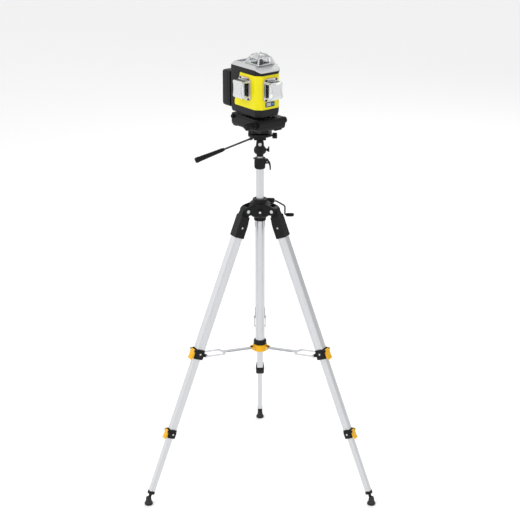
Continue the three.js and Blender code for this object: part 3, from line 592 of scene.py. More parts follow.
def drive_knobs():
    low, high = span("drive_knobs", LEVEL)
    drive = joint_spot("drive_knobs_turn", LEVEL)
    add = pieces_on("drive_knobs", offset(LEVEL, 0, drive.y, drive.z))
    radius = high.z - drive.z
    edge = span("level_base", LEVEL)[1].x + 0.3
    add("drive_shaft", rod_x(2.8, low.x + 2, high.x - 2), DARK_STEEL, 0.3, ("drive_knobs",))
    add("drive_worm", merge(*[rod_x(3.7, x, x + 0.9) for x in range(-9, 10, 2)]), STEEL, 0.2)
    flange = turned([
        (radius - 1.2, 0), (radius, 0.8), (radius, 3.2), (radius - 0.8, 4.0), (radius - 2.4, 4.2),
        (radius - 3.4, 8), (6, 9),
    ])
    add("left_knob_flange", shifted(spun(moved(flange, ALONG_X), 180), -edge), BLACK, 0.3)
    stud = rod_x(1.5, edge + 3.6, edge + 6.2, 0, radius - 2.0)
    studs = [spun(stud, 36 + 72 * k, "X") for k in range(5)]
    add("left_flange_studs", spun(merge(*studs), 180), BLACK, 0.5, (), 3)

    def knob(outer, start, end):
        return grip(fluted(outer, outer - 1.5, 11, 8), (
            (0.84, start), (0.88, start + 1.4), (0.93, start + (end - start) * 0.4), (1.0, end - 3.4),
            (0.99, end - 1.4), (0.90, end - 0.2), (0.78, end - 0.2), (0.74, end - 1.6), (0.60, end - 1.6),
            (0.56, end - 0.1),
        ))

    add("left_knob", spun(knob(radius - 1.7, edge + 6, -low.x), 180), BLACK, 0.15)
    add("right_knob", knob(radius - 2.5, edge + 0.5, high.x), BLACK, 0.15)


# ---------- level: body ----------

on_level = pieces_on("level_body", LEVEL)


def below_cover(rise=0.0):
    """The region under the split line, which dips towards the front."""
    dip, side = COVER_FRONT + rise, COVER_SIDE + rise
    outline = [
        (-60, -20), (90, -20), (90, side), (BODY_FRONT + 14.5, side), (BODY_FRONT + 3.5, dip), (-60, dip),
    ]
    return slab(outline, -60, 60)


def yellow_region(grow=0.0):
    """The side view of the yellow wrap: its rear edge leans forward towards the top."""
    low, high, rear = yellow_low.z, yellow_high.z, yellow_high.y
    outline = [
        (-70, low), (rear, low), (rear, low + 9), (YELLOW_TOP_REAR, high - 4), (YELLOW_TOP_REAR, high),
        (-70, high),
    ]
    soft = rounded(outline, [0.1, 9, 6, 4, 2, 0.1], 6)
    if grow:
        soft = [(y + (grow if y > 0 else 0), z + (grow if z > 100 else -grow)) for y, z in soft]
    return slab(soft, -60, 60)


def window_holes():
    wide, tall = 16.6, 19.2
    low, high = WINDOW_Z - tall, WINDOW_Z + tall
    return box(-60, -20, LEFT_Y - wide, LEFT_Y + wide, low, high), box(-wide, wide, -70, -25, low, high)


def housing():
    recess_depth, gap = 1.9, 0.35
    wall_thick = 4.6
    bottom, band = BODY_BOTTOM, yellow_high.z
    shell = stack(
        body_plan, (bottom, 3.0), (bottom + 1.2, 1.9), (bottom + 8, 0.4), (yellow_low.z - 1, 0),
        (band + 0.8, 0), (band + 2.2, -0.5), (COVER_SIDE - 3, -0.5), (COVER_SIDE + 1, 0.2),
    )
    ring = prism(body_plan(-3), bottom + 10, COVER_SIDE, [body_plan(recess_depth)])
    recess = common(ring, yellow_region(gap))
    hollow = prism(body_plan(wall_thick), bottom + 6, COVER_SIDE + 5)
    made = cut(common(shell, below_cover()), recess, hollow, *window_holes())
    on_level("housing_shell", made, CHARCOAL, 0.45, ("housing",), 2, 30)
    pivot = joint_spot("pendulum_swing", LEVEL).z
    arms = [box(x - 2.3, x + 2.3, -4, BODY_BACK - 4, pivot - 3.5, pivot + 3.5) for x in (-15, 15)]
    on_level("pendulum_bracket", cut(merge(*arms), rod_x(2.4, -20, 20, 0, pivot)), BLACK, 0.3)


def yellow_cover():
    ring = prism(body_plan(0.0), yellow_low.z - 5, yellow_high.z + 5, [body_plan(1.6)])
    made = cut(common(ring, yellow_region()), *window_holes())
    on_level("yellow_wrap", made, YELLOW, 0.5, ("yellow_cover",), 3, 30)


def top_cover():
    bevel = 7.2
    body = stack(
        body_plan, (COVER_FRONT - 3, -0.2), (COVER_FRONT + 3.2, -0.2), (COVER_SIDE + 1.6, -0.1),
        (COVER_TOP - 0.4, bevel), (COVER_TOP, bevel + 0.8),
    )
    edge, above = COVER_FRONT + 4.0, COVER_TOP + 20
    nose = [(-70, above), (-22, above), (-22, COVER_TOP), (BODY_FRONT - 0.4, edge), (-70, edge)]
    well = prism(rectangle(34.4, 34.4), 100, COVER_TOP + 5)
    pad = shifted(prism(soft_box(56.4, 21.9, 6), COVER_TOP - 1.9, COVER_TOP + 5), 0, KEYPAD_Y)
    hollow = box(-31, 31, -20, BODY_BACK - 9, 100, COVER_TOP - 4)
    made = cut(body, below_cover(0.3), slab(nose, -60, 60), well, pad, hollow)
    on_level("top_cover_shell", made, SILVER, 0.5, ("top_cover",), 2, 20)
    rim = prism(soft_box(58.6, 24, 7), COVER_TOP - 0.5, COVER_TOP + 0.25, [soft_box(56, 21.6, 6)])
    on_level("keypad_rim", shifted(rim, 0, KEYPAD_Y), CHROME, 0.2)


def keypad():
    add = pieces_on("level_body", offset(LEVEL, 0, KEYPAD_Y))
    top = COVER_TOP - 0.9
    add("keypad_film", prism(soft_box(55.6, 21.2, 5.6), top - 0.9, top), PANEL, 0.25, ("keypad",))
    spots = (-19, -9.5, 0, 9.5, 19)
    button_y = -3.2
    button = prism(soft_box(7.6, 7, 2.6), top, top + 0.5)
    add("keypad_buttons", merge(*[shifted(button, x, button_y) for x in spots]), PANEL, 0.25)
    low, high = top + 0.5, top + 0.58
    dash = box(-2.1, 2.1, -0.2, 0.2, low, high)
    signs = (
        pipe(1.9, 1.5, low, high, 32), box(-0.2, 0.2, -2.1, 2.1, low, high), dash, dash,
        pipe(1.9, 1.2, low, high, 4),
    )
    marks = [shifted(sign, x, button_y) for sign, x in zip(signs, spots)]
    add("keypad_icons", merge(*marks), ICON, 0)
    lamps = [shifted(rod(0.75, top, top + 0.3, 20), x, 5.2) for x in (-20, -16, -12, -8)]
    add("keypad_lamps", merge(*lamps), BLUE, 0.1)


def dome():
    low, high = span("dome_cage", LEVEL)
    floor, apex = low.z, high.z
    foot = prism(rounded(rectangle(55, 55, 8), 2), floor, floor + 1.2, [soft_box(36.5, 36.5, 2)])
    on_level("dome_foot_ring", foot, SILVER, 0.5, ("dome_cage",))
    outline = [
        (38.4, 0), (37.8, 2.4), (29.2, 17.6), (18.6, 24.9), (4, 26.9), (4, 24.2), (17.6, 22.6), (25.2, 17),
        (26.2, 15.2), (27.4, 2.4), (26.4, 0),
    ]
    rib = wall(rounded([(radius, floor + z) for radius, z in outline], 1.4, 3), -2, 2)
    on_level("dome_ribs", merge(*[spun(rib, 45 + 90 * k) for k in range(4)]), DOME_PAINT, 0.7, (), 2, 30)

    def squares(*levels):
        """A loft through squares at (half width, height above the foot ring, corner radius)."""
        return loft([at(floor + z, soft_box(2 * half, 2 * half, soft, 3)) for half, z, soft in levels])

    eave = squares((19.0, 14.6, 1.2), (20.2, 15.4, 1.2), (20.2, 17.0, 1.2), (19.2, 17.6, 1.2))
    on_level("dome_eave", cut(eave, squares((16.6, 10, 1.2), (16.4, 16.6, 1.2))), CHROME, 0.3)
    roof = squares((19.0, 17.5, 1.2), (18.6, 18.0, 1.2), (12.2, 22.9, 1.2), (3, 25.4, 0.6))
    on_level("dome_roof", roof, SILVER, 0.4)
    crest = loft([
        at(floor + 22, soft_box(13, 13, 2)), at(floor + 26, soft_box(8.6, 7, 1.5)),
        at(apex, soft_box(6.6, 4.2, 1)),
    ])
    on_level("dome_crest", spun(crest, 45), SILVER, 0.4)
    pane = cut(squares((16.4, -1.2, 1.6), (15.4, 14.8, 1.6)), squares((15.0, -3, 1.6), (14.0, 13.2, 1.6)))
    on_level("dome_pane", pane, WINDOW, 0.2, ("dome_glass",))
    seal = prism(soft_box(34.2, 34.2, 2), COVER_TOP - 1.2, COVER_TOP + 0.9, [soft_box(31, 31, 1.6)])
    on_level("dome_seal", seal, BLACK, 0.2)


def window_place(face):
    """A window's own frame: Z out of the wall, Y up, origin at the window's centre on the wall."""
    if face == "front":
        return offset(LEVEL, 0, BODY_FRONT, WINDOW_Z) @ UPRIGHT
    outward = Matrix(((0, 0, -1, 0), (-1, 0, 0, 0), (0, 1, 0, 0), (0, 0, 0, 1)))  # x, y, z to -Y, Z, -X
    return offset(LEVEL, -BODY_HALF, LEFT_Y, WINDOW_Z) @ outward


def face_plate(half_wide, half_tall, corner, back, reach):
    """A plate whose four sides fold back along curved creases, and strips of painted shade along two of the
    creases.
    """
    x, y = half_wide, half_tall
    near_x, near_y = x - corner, y - corner
    sides = (  # start, end, the point the crease bends towards, its drop, and the edge's further fall
        ((x, -near_y), (x, near_y), (3.0, 0.0), 0.7, 1.3),
        ((near_x, y), (-near_x, y), (0.0, 8.0), 0.2, 0.9),
        ((-x, near_y), (-x, -near_y), (-3.0, 0.0), 0.7, 1.3),
        ((-near_x, -y), (near_x, -y), (0.0, -8.0), 0.2, 0.9),
    )
    steps = 16
    low, edge, foot, crease, shade_lines = [], [], [], [], []
    for start, end, middle, drop, fall in sides:
        start, end, middle = Vector(start), Vector(end), Vector(middle)
        for k in range(steps + 1):
            t = k / steps
            dip = 4 * t * (1 - t)
            straight = start.lerp(end, t)
            bend = bend_point(start, middle, end, t)
            beyond = bend + (straight - bend) * 0.06
            low.append((straight.x, straight.y, back))
            edge.append((straight.x, straight.y, reach - 0.1 - (drop + fall) * dip))
            foot.append((beyond.x, beyond.y, reach - 0.1 - drop * min(dip * 2, 1)))
            crease.append((bend.x, bend.y, reach))
        if drop > 0.5:
            # a thin dark strip beside the crease: painted shade, not a groove
            path = [Vector(c) for c in foot[-steps:-1]]
            wide = math.copysign(0.42, start.x)
            rings = []
            for lift in (-0.6, 0.12):
                near = [(c.x, c.y, c.z + lift) for c in path]
                far = [(c.x + wide, c.y, c.z + lift - 0.05) for c in path]
                rings.append(near + far[::-1])
            shade_lines.append(loft(rings))
    return loft([low, edge, foot, crease]), merge(*shade_lines)


def window(face):
    where = window_place(face)
    add = pieces_on("level_body", where)
    low, high = span(f"{face}_cage", where)
    wide, tall = high.x - low.x, high.y - low.y
    skin, reach = low.z + 3, high.z
    flange = prism(rounded(rectangle(wide, tall, 7), 1.2), low.z, skin, [soft_box(33.5, 37.5, 2.5)])
    add(f"{face}_flange", flange, CHROME, 0.6, (f"{face}_cage",), 3)
    outer = rounded(rectangle(wide + 1.2, tall + 1.2, 7.3), 1.2)
    add(f"{face}_gasket", prism(outer, -0.15, low.z + 0.1, [soft_box(34, 38, 2)]), GASKET, 0.1)

    seat = reach - 4.6

    def plan(grow):
        return rounded(rectangle(40.4 + grow, 43.0 + grow, 1.6), 1.0)

    def opening(half):
        low, high = skin + 0.8, seat - 0.6
        return rounded([(-half, low), (half, low), (half, high), (-half, high)], 2.6)

    box_walls = cut(
        stack(plan, (skin - 0.6, 0), (skin + 1, 0.2), (seat, 1.0)),
        prism(soft_box(35.6, 38.2, 2.4), skin - 3, seat + 3),
        slab(opening(17.6), -30, 30),
        wall(opening(16.0), -30, 30),
    )
    add(f"{face}_box", box_walls, CHROME, 0.6, (), 3, 30)
    plate, shade_lines = face_plate(20.7, 22.0, 3.4, seat - 0.3, reach)
    add(f"{face}_plate", plate, CHROME, 0.25, (), 2, 5)
    # the dark strips are painted shade along the plate's creases
    add(f"{face}_crease", shade_lines, PAINTED_CREASE_SHADE, 0)
    screw = turned([(2.6, 0), (2.8, 0.5), (2.8, 1.6), (2.2, 2.2), (1.5, 2.2), (1.5, 1.2)], 32)
    spots = [(x, y, skin - 0.3) for x in (16.4, -16.4) for y in (25.7, -25.7)]
    add(f"{face}_screws", merge(*[shifted(screw, *spot) for spot in spots]), DARK_STEEL, 0.15)
    # black hexes in the screw heads: painted shade standing for the depth of the hex sockets
    socket_shades = [shifted(rod(1.45, 0.8, 1.25, 6), *spot) for spot in spots]
    add(f"{face}_screw_sockets", merge(*socket_shades), BLACK, 0)
    pane = cut(prism(soft_box(31, 34, 2), -3, seat - 0.8), prism(soft_box(28.4, 31.4, 1.6), -6, seat - 2.2))
    add(f"{face}_pane", pane, SMOKED, 0.15, (f"{face}_glass",))
    shroud = prism(soft_box(32.6, 37.8, 2), -9, -1.8, [soft_box(28.6, 31.6, 2)])
    add(f"{face}_shroud", shroud, BLACK, 0.3)


def label():
    where = offset(LEVEL, -1.8, BODY_FRONT, BODY_BOTTOM + 32.5) @ Matrix.Rotation(math.pi / 2, 4, "X")
    add = pieces_on("level_body", where)
    add("label_plate", prism(soft_box(30, 13, 2.4), -0.1, 0.45), LABEL, 0.2)
    bars = [shifted(prism(soft_box(15, 1.7, 0.8), 0.44, 0.6), -3.8, y) for y in (-2.8, 0.2, 3.2)]
    add("label_bars", merge(*bars), ICON, 0)
    add("label_dot", shifted(rod(3.2, 0.44, 0.6, 32), 9.4), BLUE, 0)


def battery():
    low, high = span("battery_pack", LEVEL)
    half, front, back = high.x, low.y, high.y - 1
    bottom, top = low.z, high.z
    add = pieces_on("battery_pack", LEVEL)

    def ring(y, inset):
        x, low_z, high_z = half - inset, bottom + inset, top - inset
        outline = rounded([(x, low_z), (x, high_z), (-x, high_z), (-x, low_z)], [7, 6, 6, 7], 6)
        return [(px, y, pz) for px, pz in outline]

    start, seam = front + 7.5, front + 15
    levels = (
        (start, 1.2), (start + 0.8, 0.2), (seam - 0.4, 0), (seam, 0.8), (seam + 0.8, 0.8), (seam + 1.2, 0),
        (back - 8, 0), (back - 4.6, 0.6), (back - 2, 2.2), (back - 0.5, 4.6), (back, 6.6),
    )
    case = loft([ring(y, inset) for y, inset in levels])
    add("battery_case", case, CHARCOAL, 0.3, ("battery_pack",), 2, 30)
    # flat black strips on both sides of the case: painted shade standing for vent slots
    vent_shades = []
    for inner, outer in ((-half - 0.12, 0.2 - half), (half - 0.2, half + 0.12)):
        for rise in (64, 55, 46, 37, 22):
            vent_shades.append(box(inner, outer, seam + 6, seam + 14, BODY_BOTTOM + rise, BODY_BOTTOM + rise + 1))
    add("battery_vents", merge(*vent_shades), BLACK, 0)
    latch = shifted(moved(prism(soft_box(20, 13, 3), 0, 1.1), UPRIGHT), 0, back + 1, bottom + 36)
    add("battery_latch", latch, BLACK, 0.4)
    x, rear = half - 3.5, start + 1
    neck = rounded([(x, front), (x, rear), (-x, rear), (-x, front)], 0.5)
    add("battery_rail", prism(neck, bottom + 4, top - 4), BLACK, 0.3)


def power_switch():
    low, high = span("power_switch", LEVEL)
    y, z = (low.y + high.y) / 2, (low.z + high.z) / 2
    add = pieces_on("power_switch", LEVEL)
    slider = moved(prism(soft_box(18, 10, 3), low.x, low.x + 1.5), ALONG_X)
    add("switch_slider", shifted(slider, 0, y, z), BLACK, 0.4, ("power_switch",))
    ridges = [box(low.x + 1.4, high.x, y - 3, y + 3, z + k, z + k + 1.1) for k in (-4, -1.6, 0.8, 3.2)]
    add("switch_ridges", merge(*ridges), BLACK, 0.3)


def pendulum():
    low, high = span("pendulum", LEVEL)
    pivot = joint_spot("pendulum_swing", LEVEL).z
    weight = turned([(9, 0), (12.5, 1), (13, 4), (13, 11), (8, 13), (8, 22), (11, 23), (11, 61), (9.5, 62)])
    bob = merge(
        shifted(weight, 0, 0, low.z),
        box(-5, 5, -5, 5, pivot - 15, pivot + 4),
        rod_x(2, -17, 17, 0, pivot),
        box(-8, 8, 9, 20.6, BODY_BOTTOM + 44, BODY_BOTTOM + 93),
    )
    piece("pendulum_bob", bob, STEEL, "pendulum", LEVEL, 0.5, ("pendulum",))

    def module(name, length, place):
        add = pieces_on("pendulum", place)
        barrel = turned([(6.6, 8), (7, 9), (7, length - 4), (6.2, length - 3), (6.2, length)])
        add(f"{name}_barrel", barrel, INNER, 0.3)
        lens = turned([(3.6, length - 0.2), (3.2, length + 0.6), (1.5, length + 1.0)], 32)
        add(f"{name}_lens", lens, DIODE, 0)
        mirror = turned([(0.3, length + 1.4), (5.6, length + 5.2), (5.8, length + 6.4), (3, length + 6.5)])
        add(f"{name}_cone_mirror", mirror, STEEL, 0.1)

    module("dome", high.z - 7 - pivot, offset(LEVEL, 0, 0, pivot))
    module("front", -low.y - 7, offset(LEVEL, 0, 0, WINDOW_Z) @ Matrix.Rotation(math.pi / 2, 4, "X"))
    module("left", -low.x - 7, offset(LEVEL, 0, LEFT_Y, WINDOW_Z) @ Matrix.Rotation(-math.pi / 2, 4, "Y"))


# ---------- tripod: legs ----------

def channel(wide, deep, groove):
    """A leg section: a rounded box with a shallow groove down each side face."""
    x, y = deep / 2, wide / 2
    slope = groove - 0.9
    outline = [
        (x, -y), (x, y), (groove, y), (slope, y - 0.8), (-slope, y - 0.8), (-groove, y), (-x, y), (-x, -y),
        (-groove, -y), (-slope, 0.8 - y), (slope, 0.8 - y), (groove, -y),
    ]
    return rounded(outline, [3, 3, 0.5, 0.5, 0.5, 0.5, 2, 2, 0.5, 0.5, 0.5, 0.5], 4)


def section(i, level, body, wide, deep, wall_thick, top, bottom):
    outer = channel(wide, deep, deep / 2 - 5)
    inner = soft_box(deep - 2 * wall_thick - 1.6, wide - 2 * wall_thick - 1.6, 1.5)
    tube = prism(outer, bottom, top, [inner])
    piece(f"leg_{i}_{level}_section", tube, TUBE, body, LEGS[i], 0.15, (f"leg_{i}_{level}_tube",))


def clamp(i, level, body, wide, deep, top, bottom, bore):
    name = f"leg_{i}_{level}"
    add = pieces_on(body, LEGS[i])

    def plan(grow):
        return soft_box(deep + grow, wide + grow, 5, 5)

    shell = stack(plan, (bottom, -1.6), (bottom + 2, -0.2), (top - 7, 0), (top - 6, -1.4), (top, -2.2))
    hole = prism(soft_box(bore[1], bore[0], 2.4, 5), bottom - 1, top + 1)
    add(f"{name}_clamp_body", cut(shell, hole), BLACK, 0.4, (), 2, 30)
    front, side = deep / 2, wide / 2
    root, tip = front - 3, front + 6
    lug = rounded([(root, top - 11), (tip, top - 9), (tip, top - 3), (root, top - 1)], 2.5)
    add(f"{name}_clamp_lugs", walls(lug, 3, 1.5 - side, side - 4.5), BLACK, 0.3)
    pin_x, pin_z = front + 3.6, top - 6
    add(f"{name}_clamp_pin", rod_y(1.4, 1.6 - side, side - 1.6, pin_x, pin_z, 24), STEEL, 0.2)
    proud = side + (0.2 if level == "upper" else 1.0)
    bolt_z, sunk = top - 12, side - 1.5
    bolt = merge(rod_y(3.0, -proud, -sunk, 0, bolt_z, 6), rod_y(2.6, sunk, proud, 0, bolt_z, 24))
    add(f"{name}_clamp_bolt", bolt, STEEL, 0.25)
    half = side - 4.9
    face = front + 0.3
    lever = rounded([
        (face, pin_z + 1), (face + 1.5, pin_z + 3.2), (pin_x + 2, pin_z + 3.4), (face + 5.8, pin_z - 4),
        (face + 5.2, bottom + 4), (face + 7.2, bottom - 4.6), (face + 3.8, bottom - 4.8),
        (face + 1.8, bottom - 0.5), (face, bottom + 1.5),
    ], 1.6)
    x, low = half + 1, bottom - 8
    trim = slab(rounded([(-x, low), (-x, top), (x, top), (x, low)], 6, 6), 0, 60)
    plate = common(wall(lever, -half, half), trim)
    piece(f"{name}_lever_plate", plate, MUSTARD, f"{name}_lever", LEGS[i], 0.6, (f"{name}_lever",), 3)


def spreader_ear(i):
    tip, root, z = EAR_X - 4, -12.6, EAR_Z
    end = rounded([(tip, z - 4), (root, z - 4), (root, z + 4), (tip, z + 4)], [3.9, 0.4, 0.4, 3.9], 6)
    slim = rounded([(tip + 1.8, z - 2.4), (root, z - 3), (root, z + 3), (tip + 1.8, z + 2.4)], 1.6)
    ear = merge(walls(end, 5.5, 9, -14.5), wall(slim, -9.5, 9.5))
    piece(f"leg_{i}_spreader_ear", ear, BLACK, f"leg_{i}", LEGS[i])


def shoulder(i):
    add = pieces_on(f"leg_{i}", LEGS[i])
    outline = rounded([
        (-8, 8), (4, 10.4), (11, 4), (14.6, -16), (14.4, -74), (-13.8, -74), (-13.6, -36), (-10.6, -20),
        (-10.4, -2),
    ], [5, 6, 6, 10, 1, 1, 8, 10, 6], 6)
    sides = [box(-30, 30, y, y + 6, -15, 30) for y in (8.8, -14.8)]
    socket = prism(soft_box(24.8, 22.8, 2.6), -80, -30)
    sleeve = cut(wall(outline, -13.5, 13.5), *sides, socket, rod_y(4.3, -20, 20))
    add(f"leg_{i}_shoulder_sleeve", sleeve, BLACK, 0.9, (f"leg_{i}_shoulder",), 3, 30)
    ribs = [walls(rounded([(-12, z), (13, z), (13, z + 1.4), (-12, z + 1.4)], 0.5), 0.7, 13.3, -14.0)
            for z in (-68, -63, -58)]
    add(f"leg_{i}_shoulder_ribs", merge(*ribs), BLACK, 0.2)
    rivets = merge(*[rod_y(2.6, y, y + 1.2, 1, -46, 24) for y in (13.2, -14.4)])
    add(f"leg_{i}_shoulder_rivets", rivets, STEEL)


def foot(i):
    axis = Vector(JOINTS[f"leg_{i}_middle_slide"]["axis"])
    hinge = Vector(JOINTS[f"leg_{i}_fold"]["pos_m"])
    neck_height = 13
    spot = hinge - axis * ((hinge.z - neck_height * MM) / axis.z)
    add = pieces_on(f"leg_{i}_lower", Matrix.Translation((spot.x, spot.y, 0)))
    pad = turned([
        (9.5, 0), (11.0, 0.5), (11.25, 1.4), (11.1, 4.6), (9.2, 8.6), (7.6, 12), (7.4, 18), (6.4, 21.5),
        (4.6, 22.6),
    ])
    add(f"leg_{i}_foot_pad", pad, RUBBER, 0.2, (f"leg_{i}_foot",))
    grooves = [pipe(11.38, 10.8, z, z + 0.8) for z in (1.8, 3.4)]
    add(f"leg_{i}_foot_grooves", merge(*grooves), BLACK, 0.15)
    lean = axis.to_track_quat("Z", "Y").to_matrix().to_4x4()
    neck = moved(turned([(4.6, 0), (4.6, 6), (4.0, 7), (4.0, 28)], 32), lean)
    add(f"leg_{i}_foot_neck", shifted(neck, 0, 0, neck_height), BLACK, 0.2)
    collar = prism(soft_box(16.4, 14.4, 2.6), -814.5, -806, [soft_box(15.2, 13.2, 2)])
    piece(f"leg_{i}_end_collar", collar, BLACK, f"leg_{i}_lower", LEGS[i], 0.3)


def leg(i):
    upper, middle, lower = f"leg_{i}", f"leg_{i}_middle", f"leg_{i}_lower"
    shoulder(i)
    section(i, "upper", upper, 22, 24, 1.5, -31, -412)
    section(i, "middle", middle, 17, 19, 1.4, -344, -642)
    section(i, "lower", lower, 13, 15, 1.3, -592, -814)
    clamp(i, "upper", upper, 29, 28, -391, -418, (17.5, 19.5))
    clamp(i, "lower", middle, 24, 23, -624, -648, (13.5, 15.5))
    spreader_ear(i)
    foot(i)


# ---------- tripod: spreader, crown, column ----------

def spreader():
    low, high = span("spreader_hub", TRIPOD)
    add = pieces_on("spreader", TRIPOD)
    ring = cut(
        turned([(17, low.z), (19, low.z + 1.2), (19.6, low.z + 4), (19.6, high.z - 4), (18.4, high.z)]),
        rod(12.8, low.z - 1, high.z + 1, ROUND),
    )
    add("spreader_ring", ring, MUSTARD, 0.3, ("spreader_hub",))
    low, high = span("spreader_collar", TRIPOD)
    sleeve = cut(
        turned([(16.5, low.z), (17.4, low.z + 0.8), (17.4, high.z - 3), (15.2, high.z)]),
        rod(12.8, low.z - 1, high.z + 1, ROUND),
    )
    add("spreader_sleeve", sleeve, BLACK, 0.3, ("spreader_collar",))
    for i in LEG_NUMBERS:
        spreader_arm(i)


def spreader_arm(i):
    pivot, axis = [Vector(JOINTS[f"arm_{i}_turn"][key]) for key in ("pos_m", "axis")]
    add = pieces_on("spreader", joint_frame(pivot, axis.cross(Vector((0, 0, 1))), (0, 0, 1)))
    lug = rounded([(-9, -5.4), (1, -5), (5, -2), (5, 2), (1, 5), (-9, 5.4)], 2.2)
    add(f"hub_cheeks_{i}", walls(lug, 2.6, 4.8, -7.4), MUSTARD)
    add(f"hub_pin_{i}", rod_y(1.9, -8.2, 8.2, 0, 0, 24), STEEL, 0.3)
    along = LEGS[i] @ (Vector((EAR_X, 0, EAR_Z)) * MM) - pivot
    length = along.length / MM
    upward = axis.cross(along)
    if upward.z < 0:
        upward = -upward
    add = pieces_on(f"arm_{i}", joint_frame(pivot, along, upward))
    web, lap, side = length - 52, 14.9, 17.3
    half_plan = [(web, 9), (web, side), (web - 3, side), (web - 12, 4.5), (-4.4, 4.5)]
    mirrored = [(x, -y) for x, y in half_plan[::-1]]
    plan = rounded([*mirrored, (web - 5, 0), *half_plan], [4, 5, 2, 0.3, 1.5, 6, 1.5, 0.3, 2, 5, 4])
    bar = cut(prism(plan, -1.4, 1.4), rod_y(2.3, -6, 6))
    add(f"spreader_bar_{i}", bar, TUBE, 0.3, (f"spreader_arm_{i}",))
    lips = [box(7, web - 14, y, y + 1.1, -2.0, 2.0) for y in (3.4, -4.5)]
    add(f"spreader_lips_{i}", merge(*lips), TUBE, 0.2)
    eye = cut(rod_y(3.6, -4.4, 4.4, 0, 0, 28), rod_y(2.2, -6, 6))
    add(f"spreader_eye_{i}", eye, BLACK, 0.3)
    prong = rounded([
        (web - 3, -2), (length - 3, -2), (length, -4.5), (length + 4.5, 0), (length, 4.5), (length - 3, 2),
        (web - 3, 2),
    ], [0.3, 2, 3, 3.2, 3, 2, 0.3], 6)
    add(f"spreader_prongs_{i}", walls(prong, 2.4, lap, -side), TUBE, 0.3)
    heads = merge(rod_y(2.6, side - 0.2, side + 0.8, length), rod_y(2.6, -side - 0.8, 0.2 - side, length))
    add(f"spreader_rivets_{i}", heads, STEEL)


on_crown = pieces_on("crown", TRIPOD)
on_column = pieces_on("column", TRIPOD)


def crown_hinge(i):
    fold = JOINTS[f"leg_{i}_fold"]
    out = Vector(fold["axis"]).cross(Vector((0, 0, 1)))
    add = pieces_on("crown", joint_frame(fold["pos_m"], out, (0, 0, 1)))
    cheek = rounded([
        (-26, -14), (-6, -12), (5, -10.5), (10.8, -3), (10.8, 4), (4, 11), (-10, 15), (-26, 17),
    ], [2, 6, 5, 4, 4, 5, 6, 2], 5)
    add(f"crown_cheeks_{i}", walls(cheek, 4.2, 9.2, -13.4), BLACK, 0.8, (), 3)
    bolt = merge(
        rod_y(5.0, -15.4, -13.2, 0, 0, 6), rod_y(4.6, 13.2, 15.0, 0, 0, 36),
        rod_y(2.8, 15.0, 15.7, 0, 0, 24), rod_y(3.9, -13.4, 13.4, 0, 0, 36),
    )
    add(f"crown_bolt_{i}", bolt, STEEL)
    web = wall(rounded([(-24, -17), (-10.5, -10), (-10.5, 12), (-24, 18)], 3), -9.4, 9.4)
    add(f"crown_web_{i}", web, BLACK, 0.6)


def crown():
    low, high = span("crown", TRIPOD)
    z = low.z
    bore = rod(12.9, z - 2, z + 20, ROUND)
    column_bore = rod(10.9, z, high.z + 2, ROUND)
    core = turned([
        (15, z), (16, z + 1), (16.5, z + 9), (22, z + 12), (27.5, z + 18), (29, z + 26), (29, z + 42),
        (26.5, z + 49), (21, z + 52.5), (19.5, z + 54), (19.5, high.z - 1.5), (18, high.z),
    ])
    on_crown("crown_core", cut(core, bore, column_bore), BLACK, 0.5, ("crown",), 2, 30)
    for i in LEG_NUMBERS:
        crown_hinge(i)
    front_z = 786
    boss = merge(rod_y(8.2, -32.5, -26, 0, front_z), rod_y(6.2, -34, -32, 0, front_z))
    on_crown("crown_front_boss", boss, BLACK, 0.7, (), 3)
    on_crown("crown_front_screw", rod_y(3.4, -35, -33.6, 0, front_z, 6), STEEL, 0.3)
    panels = []
    for side in (-1, 1):
        outline = [(side * 9, 770), (side * 24, 776), (side * 21, 800), (side * 8, 803)][::side]
        panels.append(wall(rounded(outline, 2.5), -27.5, -24))
    on_crown("crown_front_panels", merge(*panels), BLACK, 0.8)
    crank_y = joint_spot("crank_turn", TRIPOD).y
    pinion_bay = rod_x(7.3, -5.4, 5.4, crank_y, CRANK_Z)
    gearbox = cut(rod_x(10.8, -11, 11, crank_y, CRANK_Z), column_bore, pinion_bay)
    on_crown("crown_gearbox", gearbox, BLACK, 0.8)
    boss = moved(turned([(7.6, 11), (7.2, 22), (7.0, 36), (6.2, 38)], 48), ALONG_X)
    on_crown("crank_boss", shifted(cut(boss, rod_x(3.4, 0, 50)), 0, crank_y, CRANK_Z), BLACK, 0.5)
    sleeve = pipe(12.5, 11.7, guide_low.z / MM, guide_high.z / MM)
    on_crown("guide_tube_sleeve", sleeve, TUBE, 0.15, ("guide_tube",))
    bush = cut(turned([(14.6, z - 0.2), (15.4, z + 0.6), (15.4, z + 3)]), rod(12.7, z - 2, z + 9, ROUND))
    on_crown("crown_bush", bush, CHARCOAL, 0.2)


